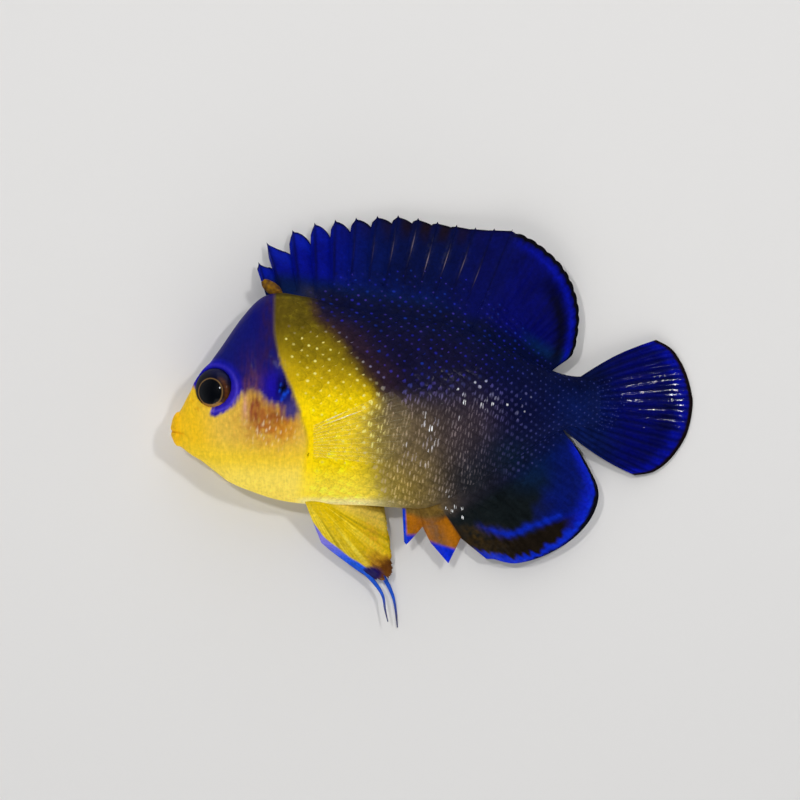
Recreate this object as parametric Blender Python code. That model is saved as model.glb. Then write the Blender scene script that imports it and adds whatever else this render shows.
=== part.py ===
"""Purplemask angelfish, a still life-size model that lies on its right side.

While it is modelled, lengths are in millimetres: x runs from the snout to the tail,
y from the belly to the back, and z from the floor up to the fish's left side.
At the end every mesh is brought to metres, with the origin under the middle of the fish.
"""
import math
from bisect import bisect_right
from functools import lru_cache

import bmesh
import bpy
from mathutils import Matrix, Vector

# Driving dimensions in millimetres
middle_x = 27.45           # middle of the whole length, under which the origin lies
middle_y = -2.45           # middle of the whole height, fins included
mid_height = 4.3           # height of the fish's middle plane above the floor
gap = 0.3                  # room between neighbouring pieces
fin_half = 0.26            # half the thickness of a fin's membrane
ray_rise = 0.13            # how far a ray stands out of the membrane
root_depth = 1.0           # how far a fin's root is sunk before it is trimmed to the body
body_start = -0.1
body_end = 46.0
head_end_relief = 0.24     # how far the gill cover's rear edge stands proud of the trunk
trunk_end = 36.0
tail_fin_root = 43.45
nose_length = 0.9          # length of the rounded front of the snout
lip_rise = 0.1             # how far the lips stand out of the snout
cheek_relief = 0.16        # how far the cheek plate stands out of the gill cover behind it

eye_centre = Vector((4.42, 1.05, 2.3))
eye_size = Vector((2.15, 2.1, 1.1))
eye_forward = math.radians(22)
eye_upward = math.radians(10)

body_around = 40
body_stations = 58

# Outline and width of the body, as a few (x, value) knots each
back_knots = ((0.8, -1.2), (2.0, 1.0), (3.4, 3.1), (5.2, 5.6), (7.3, 8.6), (9.3, 10.7), (11.2, 11.3), (14, 10.9),
              (20, 9.9), (27, 8.9), (32, 7.5), (36, 5.5), (39.5, 3.4), (42.4, 2.55), (46, 2.8))
belly_knots = ((0.8, -4.9), (2.0, -5.75), (3.2, -6.5), (4.6, -7.6), (6.1, -8.7), (8.5, -9.7), (11, -10.5),
               (14, -10.95), (20, -11.1), (24.5, -11.4), (27, -11.3), (31.3, -9.5), (34.5, -7.6), (37.6, -5.5),
               (41, -3.3), (42.4, -3.15), (46, -3.5))
width_knots = ((-0.1, 1.0), (0.45, 1.3), (0.95, 1.34), (2.4, 2.35), (4.4, 3.05), (7, 3.8), (10, 4.4), (14, 4.7),
               (20, 4.7), (26, 4.4), (32, 3.4), (36, 2.5), (40, 1.6), (43.4, 1.05), (46, 0.9))
bluntness_knots = ((0, 4.0), (3, 3.4), (7, 2.6), (12, 2.2), (46, 2.2))
sharpness_knots = ((0, 0.5), (6, 0.5), (14, 0.6), (46, 0.6))
middle_knots = ((0, mid_height), (32, mid_height), (36, 3.95), (40, 2.95), (44, 1.85), (48, 0.95), (52, 0.4),
                (55, 0.27), (58, 0.27))
cheek_edge_knots = ((-9, 5.5), (-7.6, 8.0), (-6.3, 9.1), (-3, 9.3), (1, 8.9), (4, 8.6), (12, 8.6))
cover_edge_knots = ((-12, 13.3), (-9, 13.6), (-6.7, 13.95), (-4.7, 14.3), (-3.4, 14.2), (-2, 13.75), (-0.8, 13.4),
                    (1.5, 12.5), (3.4, 11.65), (6.7, 10.8), (9, 10.7), (13, 10.7))

colours = {
    "orange_yellow": (0.72, 0.42, 0.05, 1),
    "yellow": (0.78, 0.6, 0.02, 1),
    "night_blue": (0.015, 0.012, 0.06, 1),
    "fin_blue": (0.004, 0.006, 0.16, 1),
    "fin_yellow": (0.7, 0.5, 0.04, 1),
    "clear_yellow": (0.6, 0.5, 0.2, 1),
    "eye_black": (0.01, 0.008, 0.01, 1),
}


def line_through(knots, x):
    """Value at x of a smooth line through (x, value) knots, flat past its ends."""
    spots = [knot[0] for knot in knots]
    if x <= spots[0]:
        return knots[0][1]
    if x >= spots[-1]:
        return knots[-1][1]
    i = bisect_right(spots, x) - 1

    def slope(k):
        before, after = max(k - 1, 0), min(k + 1, len(knots) - 1)
        return (knots[after][1] - knots[before][1]) / (spots[after] - spots[before])

    span = spots[i + 1] - spots[i]
    t = (x - spots[i]) / span
    rise = knots[i + 1][1] - knots[i][1]
    start, end = slope(i) * span, slope(i + 1) * span
    return knots[i][1] + t * (start + t * (3 * rise - 2 * start - end + t * (start + end - 2 * rise)))


@lru_cache(maxsize=None)
def traced(points):
    """Many close points, with the distance covered, on a smooth curve through a few points."""
    spots = [Vector(point) for point in points]
    last = len(spots) - 1
    trail = [(0.0, spots[0])]
    steps = 12
    for i in range(last):
        before, start, end, after = (spots[max(min(k, last), 0)] for k in (i - 1, i, i + 1, i + 2))
        for step in range(1, steps + 1):
            t = step / steps
            spot = 0.5 * (2 * start + t * (end - before) + t * t * (2 * before - 5 * start + 4 * end - after)
                          + t ** 3 * (3 * start - before - 3 * end + after))
            trail.append((trail[-1][0] + (spot - trail[-1][1]).length, spot))
    return trail


def along(points, share):
    """Point at a share, 0 to 1, of the way along a smooth curve through a few points."""
    trail = traced(points)
    want = share * trail[-1][0]
    i = min(bisect_right([spot[0] for spot in trail], want), len(trail) - 1)
    (far0, start), (far1, end) = trail[i - 1], trail[i]
    return start.lerp(end, (want - far0) / (far1 - far0))


def smooth_step(low, high, value):
    """0 below low, 1 above high and an even rise between."""
    t = min(max((value - low) / (high - low), 0), 1)
    return t * t * (3 - 2 * t)


def nose_round(x):
    """Share of the full section that the snout has at x, rounded off at its tip."""
    short = max(body_start + nose_length - x, 0) / nose_length
    return math.sqrt(max(1 - short ** 2, 0))


def lip(x):
    """How far the lips stand out at x, with a shallow groove behind them."""
    return lip_rise * (math.exp(-((x - 0.4) / 0.3) ** 2) - 0.8 * math.exp(-((x - 1.1) / 0.3) ** 2))


def top_and_bottom(x):
    """Height of the back and the belly at x."""
    top, bottom = line_through(back_knots, x), line_through(belly_knots, x)
    centre = (top + bottom) / 2
    half = (top - bottom) / 2 * nose_round(x) + lip(x) * nose_round(x)
    return centre + half, centre - half


def cover_relief(x, share):
    """How far gill cover and cheek plate stand out at x, for a share of -1 at the belly to 1 at the back."""
    edge = line_through(cover_edge_knots, share * 11)
    cover = head_end_relief * smooth_step(edge - 3.5, edge - 0.3, x)
    cheek_edge = line_through(cheek_edge_knots, share * 10)
    cheek = cheek_relief * smooth_step(cheek_edge - 4, cheek_edge, x) * smooth_step(cheek_edge + 0.7, cheek_edge, x)
    return (cover + cheek) * (1 - share ** 4)


def half_width(x, share, cover=False):
    """Half the body's thickness at x, for a share of -1 at the belly to 1 at the back."""
    blunt, sharp = line_through(bluntness_knots, x), line_through(sharpness_knots, x)
    width = (line_through(width_knots, x) + lip(x)) * nose_round(x)
    half = width * max(1 - abs(share) ** blunt, 0) ** sharp
    if cover:
        half += cover_relief(x, share)
    return half


def middle(x):
    """Height of the fish's middle plane, which droops to the floor at the tail."""
    return line_through(middle_knots, x)


def flank(x, y):
    """Half the body's thickness at a point seen from the side."""
    top, bottom = top_and_bottom(x)
    share = (y - (top + bottom) / 2) / ((top - bottom) / 2)
    return half_width(x, max(min(share, 1), -1))


def new_object(name, bm):
    """Object from a bmesh, with its faces turned outwards."""
    bm.normal_update()
    bmesh.ops.recalc_face_normals(bm, faces=bm.faces)
    mesh = bpy.data.meshes.new(name)
    bm.to_mesh(mesh)
    bm.free()
    item = bpy.data.objects.new(name, mesh)
    cutters.objects.link(item)
    item.hide_render = True
    item.display_type = "WIRE"
    return item


def remove(item):
    """Remove an object and its mesh."""
    mesh = item.data
    bpy.data.objects.remove(item)
    bpy.data.meshes.remove(mesh)


def keep_largest(mesh):
    """Keep only the surface with the most points, and drop any scrap that a cut leaves."""
    bm = bmesh.new()
    bm.from_mesh(mesh)
    unseen = set(bm.verts)
    largest = set()
    while unseen:
        waiting = [unseen.pop()]
        surface = set(waiting)
        while waiting:
            for edge in waiting.pop().link_edges:
                for vert in edge.verts:
                    if vert in unseen:
                        unseen.discard(vert)
                        surface.add(vert)
                        waiting.append(vert)
        largest = max(largest, surface, key=len)
    bmesh.ops.delete(bm, geom=[vert for vert in bm.verts if vert not in largest], context="VERTS")
    bm.to_mesh(mesh)
    bm.free()


def combine(item, tools, operation, solver="EXACT"):
    """Cut, join or trim an object with others, apply it and remove the others."""
    group = bpy.data.collections.new("tools")
    for tool in tools:
        group.objects.link(tool)
    boolean = item.modifiers.new(operation.lower(), "BOOLEAN")
    boolean.operation = operation
    boolean.solver = solver
    boolean.operand_type = "COLLECTION"
    boolean.collection = group
    bpy.context.view_layer.update()
    result = bpy.data.meshes.new_from_object(item.evaluated_get(bpy.context.evaluated_depsgraph_get()))
    item.modifiers.clear()
    old = item.data
    item.data = result
    bpy.data.meshes.remove(old)
    for tool in tools:
        remove(tool)
    bpy.data.collections.remove(group)
    keep_largest(item.data)


def prism(name, outline, bottom=-3.0, top=14.0):
    """Upright block with the given outline."""
    bm = bmesh.new()
    face = bm.faces.new([bm.verts.new((x, y, bottom)) for x, y in outline])
    sides = bmesh.ops.extrude_face_region(bm, geom=[face])
    raised = [item for item in sides["geom"] if isinstance(item, bmesh.types.BMVert)]
    bmesh.ops.translate(bm, verts=raised, vec=(0, 0, top - bottom))
    return new_object(name, bm)


def body(name, grow=0.0, cover=False):
    """The whole body from snout to tail root, as one closed surface."""
    bm = bmesh.new()
    bmesh.ops.create_uvsphere(bm, u_segments=body_around, v_segments=body_stations, radius=1)
    for vert in bm.verts:
        share_along = math.acos(max(min(vert.co.z, 1), -1)) / math.pi
        turn = math.atan2(vert.co.y, vert.co.x)
        x = body_start + (body_end - body_start) * share_along ** 1.5
        top, bottom = top_and_bottom(x)
        share = math.sin(turn)
        off_middle = half_width(x, share, cover) + grow * abs(math.cos(turn))
        y = (top + bottom) / 2 + ((top - bottom) / 2 + grow) * share
        if 0 < share_along < 1:
            vert.co = (x, y, middle(x) + math.copysign(off_middle, math.cos(turn)))
        else:
            vert.co = (x, (top + bottom) / 2, middle(x))
    return new_object(name, bm)


def slice_off(item, point, towards):
    """Cut the object through a point and drop what lies on the given side, closing the cut."""
    bm = bmesh.new()
    bm.from_mesh(item.data)
    everything = bm.verts[:] + bm.edges[:] + bm.faces[:]
    bmesh.ops.bisect_plane(bm, geom=everything, dist=1e-4, plane_co=point, plane_no=towards, clear_outer=True)
    rim = [edge for edge in bm.edges if edge.is_boundary]
    bmesh.ops.holes_fill(bm, edges=rim, sides=0)
    bm.normal_update()
    bmesh.ops.recalc_face_normals(bm, faces=bm.faces)
    bm.to_mesh(item.data)
    bm.free()


def ellipsoid(name, centre, size, turn=None, grow=0.0, around=18, rings=10):
    """Closed ellipsoid, turned about its centre."""
    bm = bmesh.new()
    bmesh.ops.create_uvsphere(bm, u_segments=around, v_segments=rings, radius=1)
    bmesh.ops.scale(bm, verts=bm.verts, vec=[part + grow for part in size])
    if turn:
        bmesh.ops.rotate(bm, verts=bm.verts, cent=(0, 0, 0), matrix=turn)
    bmesh.ops.translate(bm, verts=bm.verts, vec=centre)
    return new_object(name, bm)


def cone(name, root, tip, radius, sides=8):
    """Spine that tapers from its root to its tip."""
    bm = bmesh.new()
    shaft = tip - root
    bmesh.ops.create_cone(bm, cap_ends=True, segments=sides, radius1=radius, radius2=radius * 0.25,
                          depth=shaft.length)
    turn = Vector((0, 0, 1)).rotation_difference(shaft).to_matrix()
    bmesh.ops.rotate(bm, verts=bm.verts, cent=(0, 0, 0), matrix=turn)
    bmesh.ops.translate(bm, verts=bm.verts, vec=root + shaft / 2)
    return new_object(name, bm)


def thread(name, points, radius, tip_radius, sides=6, steps=10):
    """Tapering filament along a smooth curve."""
    bm = bmesh.new()
    rings = []
    for step in range(steps + 1):
        share = step / steps
        here = along(points, share)
        heading = along(points, min(share + 0.02, 1)) - along(points, max(share - 0.02, 0))
        turn = Vector((0, 0, 1)).rotation_difference(heading).to_matrix().to_4x4()
        ring = bmesh.ops.create_circle(bm, cap_ends=step in (0, steps), segments=sides,
                                       radius=radius + (tip_radius - radius) * share,
                                       matrix=Matrix.Translation(here) @ turn)
        rings.append(ring["verts"])
    for ring, following in zip(rings, rings[1:]):
        loops = [edge for edge in bm.edges if edge.verts[0] in ring and edge.verts[1] in ring]
        loops += [edge for edge in bm.edges if edge.verts[0] in following and edge.verts[1] in following]
        bmesh.ops.bridge_loops(bm, edges=loops)
    return new_object(name, bm)


def fin_plate(name, columns, rows, height, half, bow=0.0):
    """Thin closed plate: columns run from root to edge, and height gives its middle surface.

    The outer columns bow apart by bow, and the middle one stays straight.
    """
    bm = bmesh.new()
    last = len(columns) - 1
    bmesh.ops.create_grid(bm, x_segments=last, y_segments=rows, size=1)
    bmesh.ops.triangulate(bm, faces=bm.faces)
    lower = set(bm.verts)
    bmesh.ops.extrude_face_region(bm, geom=bm.faces[:])
    for vert in bm.verts:
        across, out = (vert.co.x + 1) / 2, (vert.co.y + 1) / 2
        root, edge, crest = columns[round(across * last)]
        x = root[0] + (edge[0] - root[0]) * out
        y = root[1] + (edge[1] - root[1]) * out + bow * (1 - 2 * across) * math.sin(math.pi * out)
        side = -1 if vert in lower else 1
        vert.co = (x, y, max(height(x, y, across, out) + side * half(out, crest), 0))
    return new_object(name, bm)


def plain_half(out, crest):
    """Half the thickness of a fin at a share of the way from root to edge."""
    return fin_half + 0.25 * (1 - out) ** 2 + ray_rise * crest * (1 - 0.4 * out)


def finish(item, name, colour):
    """Name a finished piece, give it its colour and bring it to metres and to the floor's middle."""
    item.name = name
    item.data.name = name
    material = bpy.data.materials.new(name)
    material.use_nodes = True
    shader = material.node_tree.nodes["Principled BSDF"]
    shader.inputs["Base Color"].default_value = colours[colour]
    shader.inputs["Roughness"].default_value = 0.3
    shader.inputs["Metallic"].default_value = 0
    item.data.materials.clear()
    item.data.materials.append(material)
    item.data.transform(Matrix.Scale(0.001, 4) @ Matrix.Translation((-middle_x, -middle_y, 0)))
    item.data.shade_smooth()
    item.data.set_sharp_from_angle(angle=math.radians(35))
    item.hide_render = False
    item.display_type = "TEXTURED"
    cutters.objects.unlink(item)
    fish.objects.link(item)


def cover_line(offset):
    """Rear edge of the gill cover from belly to back, moved along the fish."""
    heights = [-14 + 28 * step / 28 for step in range(29)]
    return [(line_through(cover_edge_knots, y) + offset, y) for y in heights]


def eye_turn(side):
    """Turn of the eye on its side of the head, side being 1 for the left and -1 for the right."""
    return (Matrix.Rotation(-eye_forward * side, 3, "Y") @ Matrix.Rotation(-eye_upward * side, 3, "X"))


def eye_spot(side):
    """Centre of the eye on one side."""
    return Vector((eye_centre.x, eye_centre.y, mid_height + side * eye_centre.z))


def jaw_outline(room):
    """Block that holds the lower jaw, below the line of the mouth, with room around it."""
    return [(-2, -3.3 + room), (1.25 + room, -3.55 + room), (2.5 + room, -6.2), (2.6 + room, -9), (-2, -9)]


def make_head():
    """Head with the gill cover, eye sockets, nostrils and cheek spines."""
    head = body("head", cover=True)
    front = prism("front", cover_line(-gap / 2) + [(-4, 14), (-4, -14)])
    combine(head, [front], "INTERSECT")
    pits = [ellipsoid("socket", eye_spot(side), eye_size, eye_turn(side), grow=gap) for side in (1, -1)]
    for side in (1, -1):
        for x, y, radius in ((2.2, -0.1, 0.26), (2.75, -0.9, 0.3)):
            spot = Vector((x, y, middle(x) + side * (flank(x, y) + 0.05)))
            pits.append(ellipsoid("nostril", spot, Vector((radius, radius, radius)), around=10, rings=6))
    pits.append(prism("jaw_room", jaw_outline(gap / 2)))
    combine(head, pits, "DIFFERENCE")
    spines = []
    for side in (1, -1):
        root = Vector((9.2, -6.4, middle(9) + side * (flank(9.2, -6.4) - 0.2)))
        tip = Vector((12.3, -7.3, middle(9) + side * (flank(12.3, -7.3) + 0.35)))
        if side > 0 or tip.z > 0.5:
            spines.append(cone("cheek_spine", root, tip, 0.42))
    combine(head, spines, "UNION", "MANIFOLD")
    slice_off(head, (0, 0, 0), (0, 0, -1))
    finish(head, "head", "orange_yellow")


def make_jaw():
    """Lower jaw under the line of the mouth."""
    jaw = body("jaw", cover=True)
    combine(jaw, [prism("jaw_block", jaw_outline(-gap / 2))], "INTERSECT")
    finish(jaw, "lower_jaw", "orange_yellow")


def pectoral_columns(room=0.0):
    """Pectoral fin seen from the side: root and edge of each ray, with room added all round."""
    margin = ((23.2, 0.9), (24.7, -0.6), (25.1, -2.6), (24.3, -4.8), (22.2, -6.6))
    rays = 10
    columns = []
    for k in range(2 * rays - 1):
        share = k / (2 * rays - 2)
        root = Vector((15.0 - room, -2.7 + room + share * (-3.1 - 2 * room)))
        edge = along(margin, share)
        if room:
            edge += room * (edge - Vector((18.5, -3.5))).normalized() * 1.3
        columns.append((root, edge, 1 - k % 2))
    return columns


def make_trunk():
    """Trunk behind the gill cover, with a pocket under it for the folded right fin."""
    trunk = body("trunk")
    rear = prism("rear", cover_line(gap / 2)[::-1] + [(60, -14), (60, 14)])
    combine(trunk, [rear], "INTERSECT")
    slice_off(trunk, (trunk_end - gap / 2, 0, 0), (1, 0, 0))
    pocket = [edge for root, edge, crest in pectoral_columns(gap)]
    first, last = pectoral_columns(gap)[0][0], pectoral_columns(gap)[-1][0]
    combine(trunk, [prism("pocket", pocket + [last, first], top=0.95)], "DIFFERENCE")
    slice_off(trunk, (0, 0, 0), (0, 0, -1))
    finish(trunk, "trunk", "night_blue")


def make_peduncle():
    """Narrow root of the tail."""
    peduncle = body("peduncle")
    slice_off(peduncle, (trunk_end + gap / 2, 0, 0), (-1, 0, 0))
    slice_off(peduncle, (tail_fin_root - gap, 0, 0), (1, 0, 0))
    finish(peduncle, "tail_peduncle", "night_blue")


def spine_tip(number):
    """Tip of a dorsal spine, numbered from 1, from the even line that the tips follow."""
    if number <= 2:
        return Vector((9.04, 14.41)).lerp(Vector((9.89, 16.51)), number - 1)
    tips = ((9.8, 16.45), (12.8, 17.8), (17.2, 18.8), (23.8, 19.4), (27.4, 18.8), (31.9, 18.1), (35.9, 17.9))
    x = 9.89 + 25.97 * ((number - 2) / 12) ** 0.9
    return Vector((x, line_through(tips, x)))


def droop(tip_height, power=1.3):
    """Middle surface of a fin that sags from the body's middle plane to a height at its edge."""
    def height(x, y, across, out):
        return middle(x) + (line_through(tip_height, x) - middle(x)) * out ** power
    return height


def trim_to_body(fin):
    """Cut a fin's root to the body, with room between."""
    combine(fin, [body("body_room", grow=gap)], "DIFFERENCE", "MANIFOLD")


dorsal_tip_height = ((9, 1.3), (20, 1.1), (30, 1.5), (36, 2.0), (42, 2.4), (43, 2.2))


def make_spiny_dorsal():
    """Front of the dorsal fin: stiff spines with notched membrane between."""
    spines, first_root, root_step = 14, 10.7, 1.57
    columns = []
    for number in range(1, spines + 1):
        depth = 2.9 * math.exp(-0.17 * number)
        stops = [(0, 1, 0), (0.3, 0, 0.2), (0.6, 0, 0.65), (0.8, 0, 1)]
        if number == 1:
            stops = [(-0.2, 0, 0.25)] + stops
        if number == spines:
            stops = [(0, 1, 0)]
        for step, crest, drop in stops:
            x = first_root + root_step * (number - 1 + step)
            root = Vector((x, line_through(back_knots, x) - root_depth))
            edge = spine_tip(number).lerp(spine_tip(min(number + 1, spines)), max(step, 0))
            edge.x += min(step, 0) * 2
            edge += (root - edge).normalized() * depth * drop
            columns.append((root, edge, crest))
    fin = fin_plate("spiny", columns, 6, droop(dorsal_tip_height), plain_half)
    sheath = ellipsoid("sheath", Vector((10.0, 11.9, mid_height)), Vector((0.75, 1.2, 0.6)), around=12, rings=8)
    combine(fin, [sheath], "UNION", "MANIFOLD")
    trim_to_body(fin)
    finish(fin, "dorsal_fin_spiny", "fin_blue")


def make_soft_dorsal():
    """Rear lobe of the dorsal fin, with soft rays."""
    margin = ((36.2, 17.88), (37.4, 17.3), (39.2, 16.1), (41.2, 14.1), (42.5, 11.5), (42.95, 8.6), (42.4, 5.2),
              (41.2, 3.95), (39.9, 3.7))
    rays = 16
    columns = []
    for k in range(2 * rays - 1):
        share = k / (2 * rays - 2)
        x = 31.45 + 7.9 * share
        root = Vector((x, line_through(back_knots, x) - root_depth))
        columns.append((root, along(margin, share), 1 - k % 2))
    fin = fin_plate("soft", columns, 7, droop(dorsal_tip_height), plain_half)
    trim_to_body(fin)
    finish(fin, "dorsal_fin_soft", "fin_blue")


def make_anal():
    """Anal fin: two spined lobes, a third spine and a rounded soft lobe."""
    soft_margin = ((33.9, -16.75), (36.0, -17.1), (38.7, -16.3), (41.9, -14.3), (44.1, -12.1), (44.75, -10.0),
                   (43.8, -7.4), (42.4, -4.9), (41.4, -3.9))
    lobes = ((24.0, (24.1, -14.6), 0), (24.5, (24.65, -15.29), 1), (25.0, (25.5, -14.4), 0),
             (25.5, (26.36, -13.42), 0), (25.8, (27.2, -15.1), 0), (26.2, (29.09, -17.28), 1),
             (26.7, (29.8, -15.9), 0), (27.2, (30.41, -14.62), 0), (27.7, (33.13, -16.83), 1),
             (28.2, (33.5, -16.7), 0))
    columns = []
    for x, edge, crest in lobes:
        columns.append((Vector((x, line_through(belly_knots, x) + root_depth)), Vector(edge), crest))
    rays = 17
    for k in range(2 * rays - 1):
        share = k / (2 * rays - 2)
        x = 28.6 + 12.2 * share
        root = Vector((x, line_through(belly_knots, x) + root_depth))
        columns.append((root, along(soft_margin, share), 1 - k % 2))
    tip_height = ((24, 2.4), (30, 2.0), (36, 1.9), (42, 1.9), (45, 1.9))
    fin = fin_plate("anal", columns, 7, droop(tip_height), plain_half)
    trim_to_body(fin)
    finish(fin, "anal_fin", "fin_blue")


def make_caudal():
    """Fan of the tail fin, whose rear edge lies on the floor."""
    margin = ((50.8, 6.35), (52.6, 5.6), (54.0, 3.5), (54.8, 1.0), (54.95, -0.6), (54.3, -3.4), (52.6, -6.1),
              (50.8, -7.5), (49.4, -7.85))
    rays = 17
    columns = []
    for k in range(2 * rays - 1):
        share = k / (2 * rays - 2)
        root = Vector((tail_fin_root, 2.45 - 5.6 * share))
        columns.append((root, along(margin, share), 1 - k % 2))

    def height(x, y, across, out):
        return middle(x)

    def half(out, crest):
        return fin_half + 0.5 * (1 - out) ** 3 + ray_rise * crest * (1 - 0.4 * out)

    fin = fin_plate("tail", columns, 8, height, half, bow=0.45)
    finish(fin, "caudal_fin", "fin_blue")


def make_pectoral(side):
    """Pectoral fin folded back along the flank; the right one lies flat under the fish."""
    def height(x, y, across, out):
        if side < 0:
            return fin_half
        return middle(x) + flank(x, y) + gap + 0.1 + fin_half

    def half(out, crest):
        return fin_half + 0.08 * crest * (1 - out)

    fin = fin_plate("pectoral", pectoral_columns(), 6, height, half)
    finish(fin, "pectoral_fin_left" if side > 0 else "pectoral_fin_right", "clear_yellow")


def make_pelvic(side):
    """Pelvic fin: a fan of a spine and soft rays, whose first ray ends in a long filament."""
    rays = ((15.6, -15.2), (20.9, -18.9), (23.2, -18.6), (22.9, -15.6), (21.9, -12.6))
    left_thread = ((19.0, -17.0), (20.9, -18.9), (22.1, -20.6), (22.4, -22.2), (22.7, -23.5))
    right_thread = ((20.6, -16.9), (22.2, -18.8), (23.2, -20.8), (23.55, -22.6), (23.7, -24.2))
    shift = Vector((0, 0)) if side > 0 else Vector((0.1, 0.15))
    root_height = mid_height + side * 0.75
    tip_height = 1.75 if side > 0 else 0.3
    steps = 4
    columns = []
    for k in range(steps * (len(rays) - 1) + 1):
        share = k / (steps * (len(rays) - 1))
        root = Vector((13.7 + 1.6 * share, -10.2 - 0.2 * share))
        columns.append((root + shift, along(rays, share) + shift, 1 if k % steps == 0 else 0))

    def height(x, y, across, out):
        return root_height + (tip_height - root_height) * out ** 1.2

    fin = fin_plate("pelvic", columns, 6, height, plain_half)
    trim_to_body(fin)
    points = left_thread if side > 0 else right_thread
    tip = tip_height if side > 0 else 0.32
    rise = [tip_height + 0.35, tip_height, tip_height, tip, tip]
    spots = tuple((x, y, max(z, 0.32)) for (x, y), z in zip(points, rise))
    combine(fin, [thread("filament", spots, 0.3, 0.16)], "UNION")
    finish(fin, "pelvic_fin_left" if side > 0 else "pelvic_fin_right", "fin_yellow")


def make_eye(side):
    """Eyeball, a flattened ball that faces out and a little forwards."""
    eye = ellipsoid("eye", eye_spot(side), eye_size, eye_turn(side))
    finish(eye, "eye_left" if side > 0 else "eye_right", "eye_black")


for old in list(bpy.data.objects):
    bpy.data.objects.remove(old)

fish = bpy.data.collections.new("purplemask_angelfish")
cutters = bpy.data.collections.new("cutters")
bpy.context.scene.collection.children.link(fish)
bpy.context.scene.collection.children.link(cutters)

make_head()
make_jaw()
make_trunk()
make_peduncle()
make_spiny_dorsal()
make_soft_dorsal()
make_anal()
make_caudal()
for side in (1, -1):
    make_pectoral(side)
    make_pelvic(side)
    make_eye(side)
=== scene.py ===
"""Looks of the purplemask angelfish: skin, scales, fins, eyes and the studio around them.

Shapes are worked out in millimetres, as the solids are: x from snout to tail, y from belly
to back, z up from the floor to the fish's left side. placed() turns them into metres.
"""
import math

import bmesh
import bpy
import numpy as np
from mathutils import Matrix, Vector, noise
from mathutils.bvhtree import BVHTree


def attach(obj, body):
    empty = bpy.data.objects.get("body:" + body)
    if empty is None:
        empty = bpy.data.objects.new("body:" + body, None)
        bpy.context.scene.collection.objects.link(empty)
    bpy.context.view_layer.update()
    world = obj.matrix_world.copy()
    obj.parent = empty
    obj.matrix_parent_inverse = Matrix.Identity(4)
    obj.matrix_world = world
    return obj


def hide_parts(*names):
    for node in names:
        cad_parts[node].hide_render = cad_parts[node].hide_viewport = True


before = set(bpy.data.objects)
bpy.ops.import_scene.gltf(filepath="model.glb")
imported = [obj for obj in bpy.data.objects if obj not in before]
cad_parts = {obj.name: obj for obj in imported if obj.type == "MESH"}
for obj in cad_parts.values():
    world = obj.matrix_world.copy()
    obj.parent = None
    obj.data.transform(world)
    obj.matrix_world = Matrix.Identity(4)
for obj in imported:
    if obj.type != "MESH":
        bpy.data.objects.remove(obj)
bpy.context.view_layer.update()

# Skin
# One wet skin covers head, jaw, trunk and tail root, with no seam where the solids are parted.
# It carries the markings and the face: mouth and lips, nostrils, orbits, cheek plate, gill cover.

middle_x, middle_y, mid_height = 27.45, -2.45, 4.3
snout_start, skin_end = -0.1, 45.7
scale_room = 0.07            # room that the skin leaves for the scales on it
darkest = 0.0005             # nothing on the fish is quite black
nose_length = 0.9
lip_rise = 0.05
back_knots = ((0.8, -1.2), (2.0, 1.0), (3.4, 3.1), (5.2, 5.6), (7.3, 8.6), (9.3, 10.7), (11.2, 11.3),
              (14, 10.9), (20, 9.9), (27, 8.9), (32, 7.5), (36, 5.5), (39.5, 3.4), (42.4, 2.55), (46, 2.8))
belly_knots = ((0.8, -4.9), (2.0, -5.75), (3.2, -6.5), (4.6, -7.6), (6.1, -8.7), (8.5, -9.7), (11, -10.5),
               (14, -10.95), (20, -11.1), (24.5, -11.4), (27, -11.3), (31.3, -9.5), (34.5, -7.6),
               (37.6, -5.5), (41, -3.3), (42.4, -3.15), (46, -3.5))
width_knots = ((-0.1, 1.0), (0.45, 1.3), (0.95, 1.34), (2.4, 2.35), (4.4, 3.05), (7, 3.8), (10, 4.4),
               (14, 4.7), (20, 4.7), (26, 4.4), (32, 3.4), (36, 2.5), (40, 1.6), (43.4, 1.05), (44.8, 0.6),
               (46, 0.1))
bluntness_knots = ((0, 4.0), (3, 3.4), (7, 2.6), (12, 2.2), (46, 2.2))
sharpness_knots = ((0, 0.5), (6, 0.5), (14, 0.6), (46, 0.6))
middle_knots = ((0, mid_height), (32, mid_height), (36, 3.95), (40, 2.95), (44, 1.85), (46, 1.33),
                (50, 0.84), (54.6, 0.28), (58, 0.27))
cheek_edge_knots = ((-9, 5.5), (-7.6, 8.0), (-6.3, 9.1), (-3, 9.3), (1, 8.9), (4, 8.6), (12, 8.6))
cover_edge_knots = ((-12, 13.3), (-9, 13.6), (-6.7, 13.95), (-4.7, 14.3), (-3.4, 14.2), (-2, 13.75),
                    (-0.8, 13.4), (1.5, 12.5), (3.4, 11.65), (6.7, 10.8), (9, 10.7), (13, 10.7))
eye_centre = (4.6, 1.26, 2.3)
eye_radius, eye_bulge = 2.12, 1.1
eye_forward, eye_upward = math.radians(22), math.radians(10)
sides = ((1, "left"), (-1, "right"))


def line_through(knots, x):
    """Values at x of a smooth line through (x, value) knots, flat past its ends."""
    spots, values = np.array(knots, float).T
    order = np.arange(len(spots))
    before, after = np.maximum(order - 1, 0), np.minimum(order + 1, len(spots) - 1)
    slopes = (values[after] - values[before]) / (spots[after] - spots[before])
    x = np.clip(x, spots[0], spots[-1])
    i = np.clip(np.searchsorted(spots, x, side="right") - 1, 0, len(spots) - 2)
    span = spots[i + 1] - spots[i]
    t = (x - spots[i]) / span
    rise = values[i + 1] - values[i]
    start, end = slopes[i] * span, slopes[i + 1] * span
    return values[i] + t * (start + t * (3 * rise - 2 * start - end + t * (start + end - 2 * rise)))


def step_up(low, high, value):
    """0 at low, 1 at high and an even rise between; low may be the larger."""
    t = np.clip((value - low) / (high - low), 0, 1)
    return t * t * (3 - 2 * t)


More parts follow.
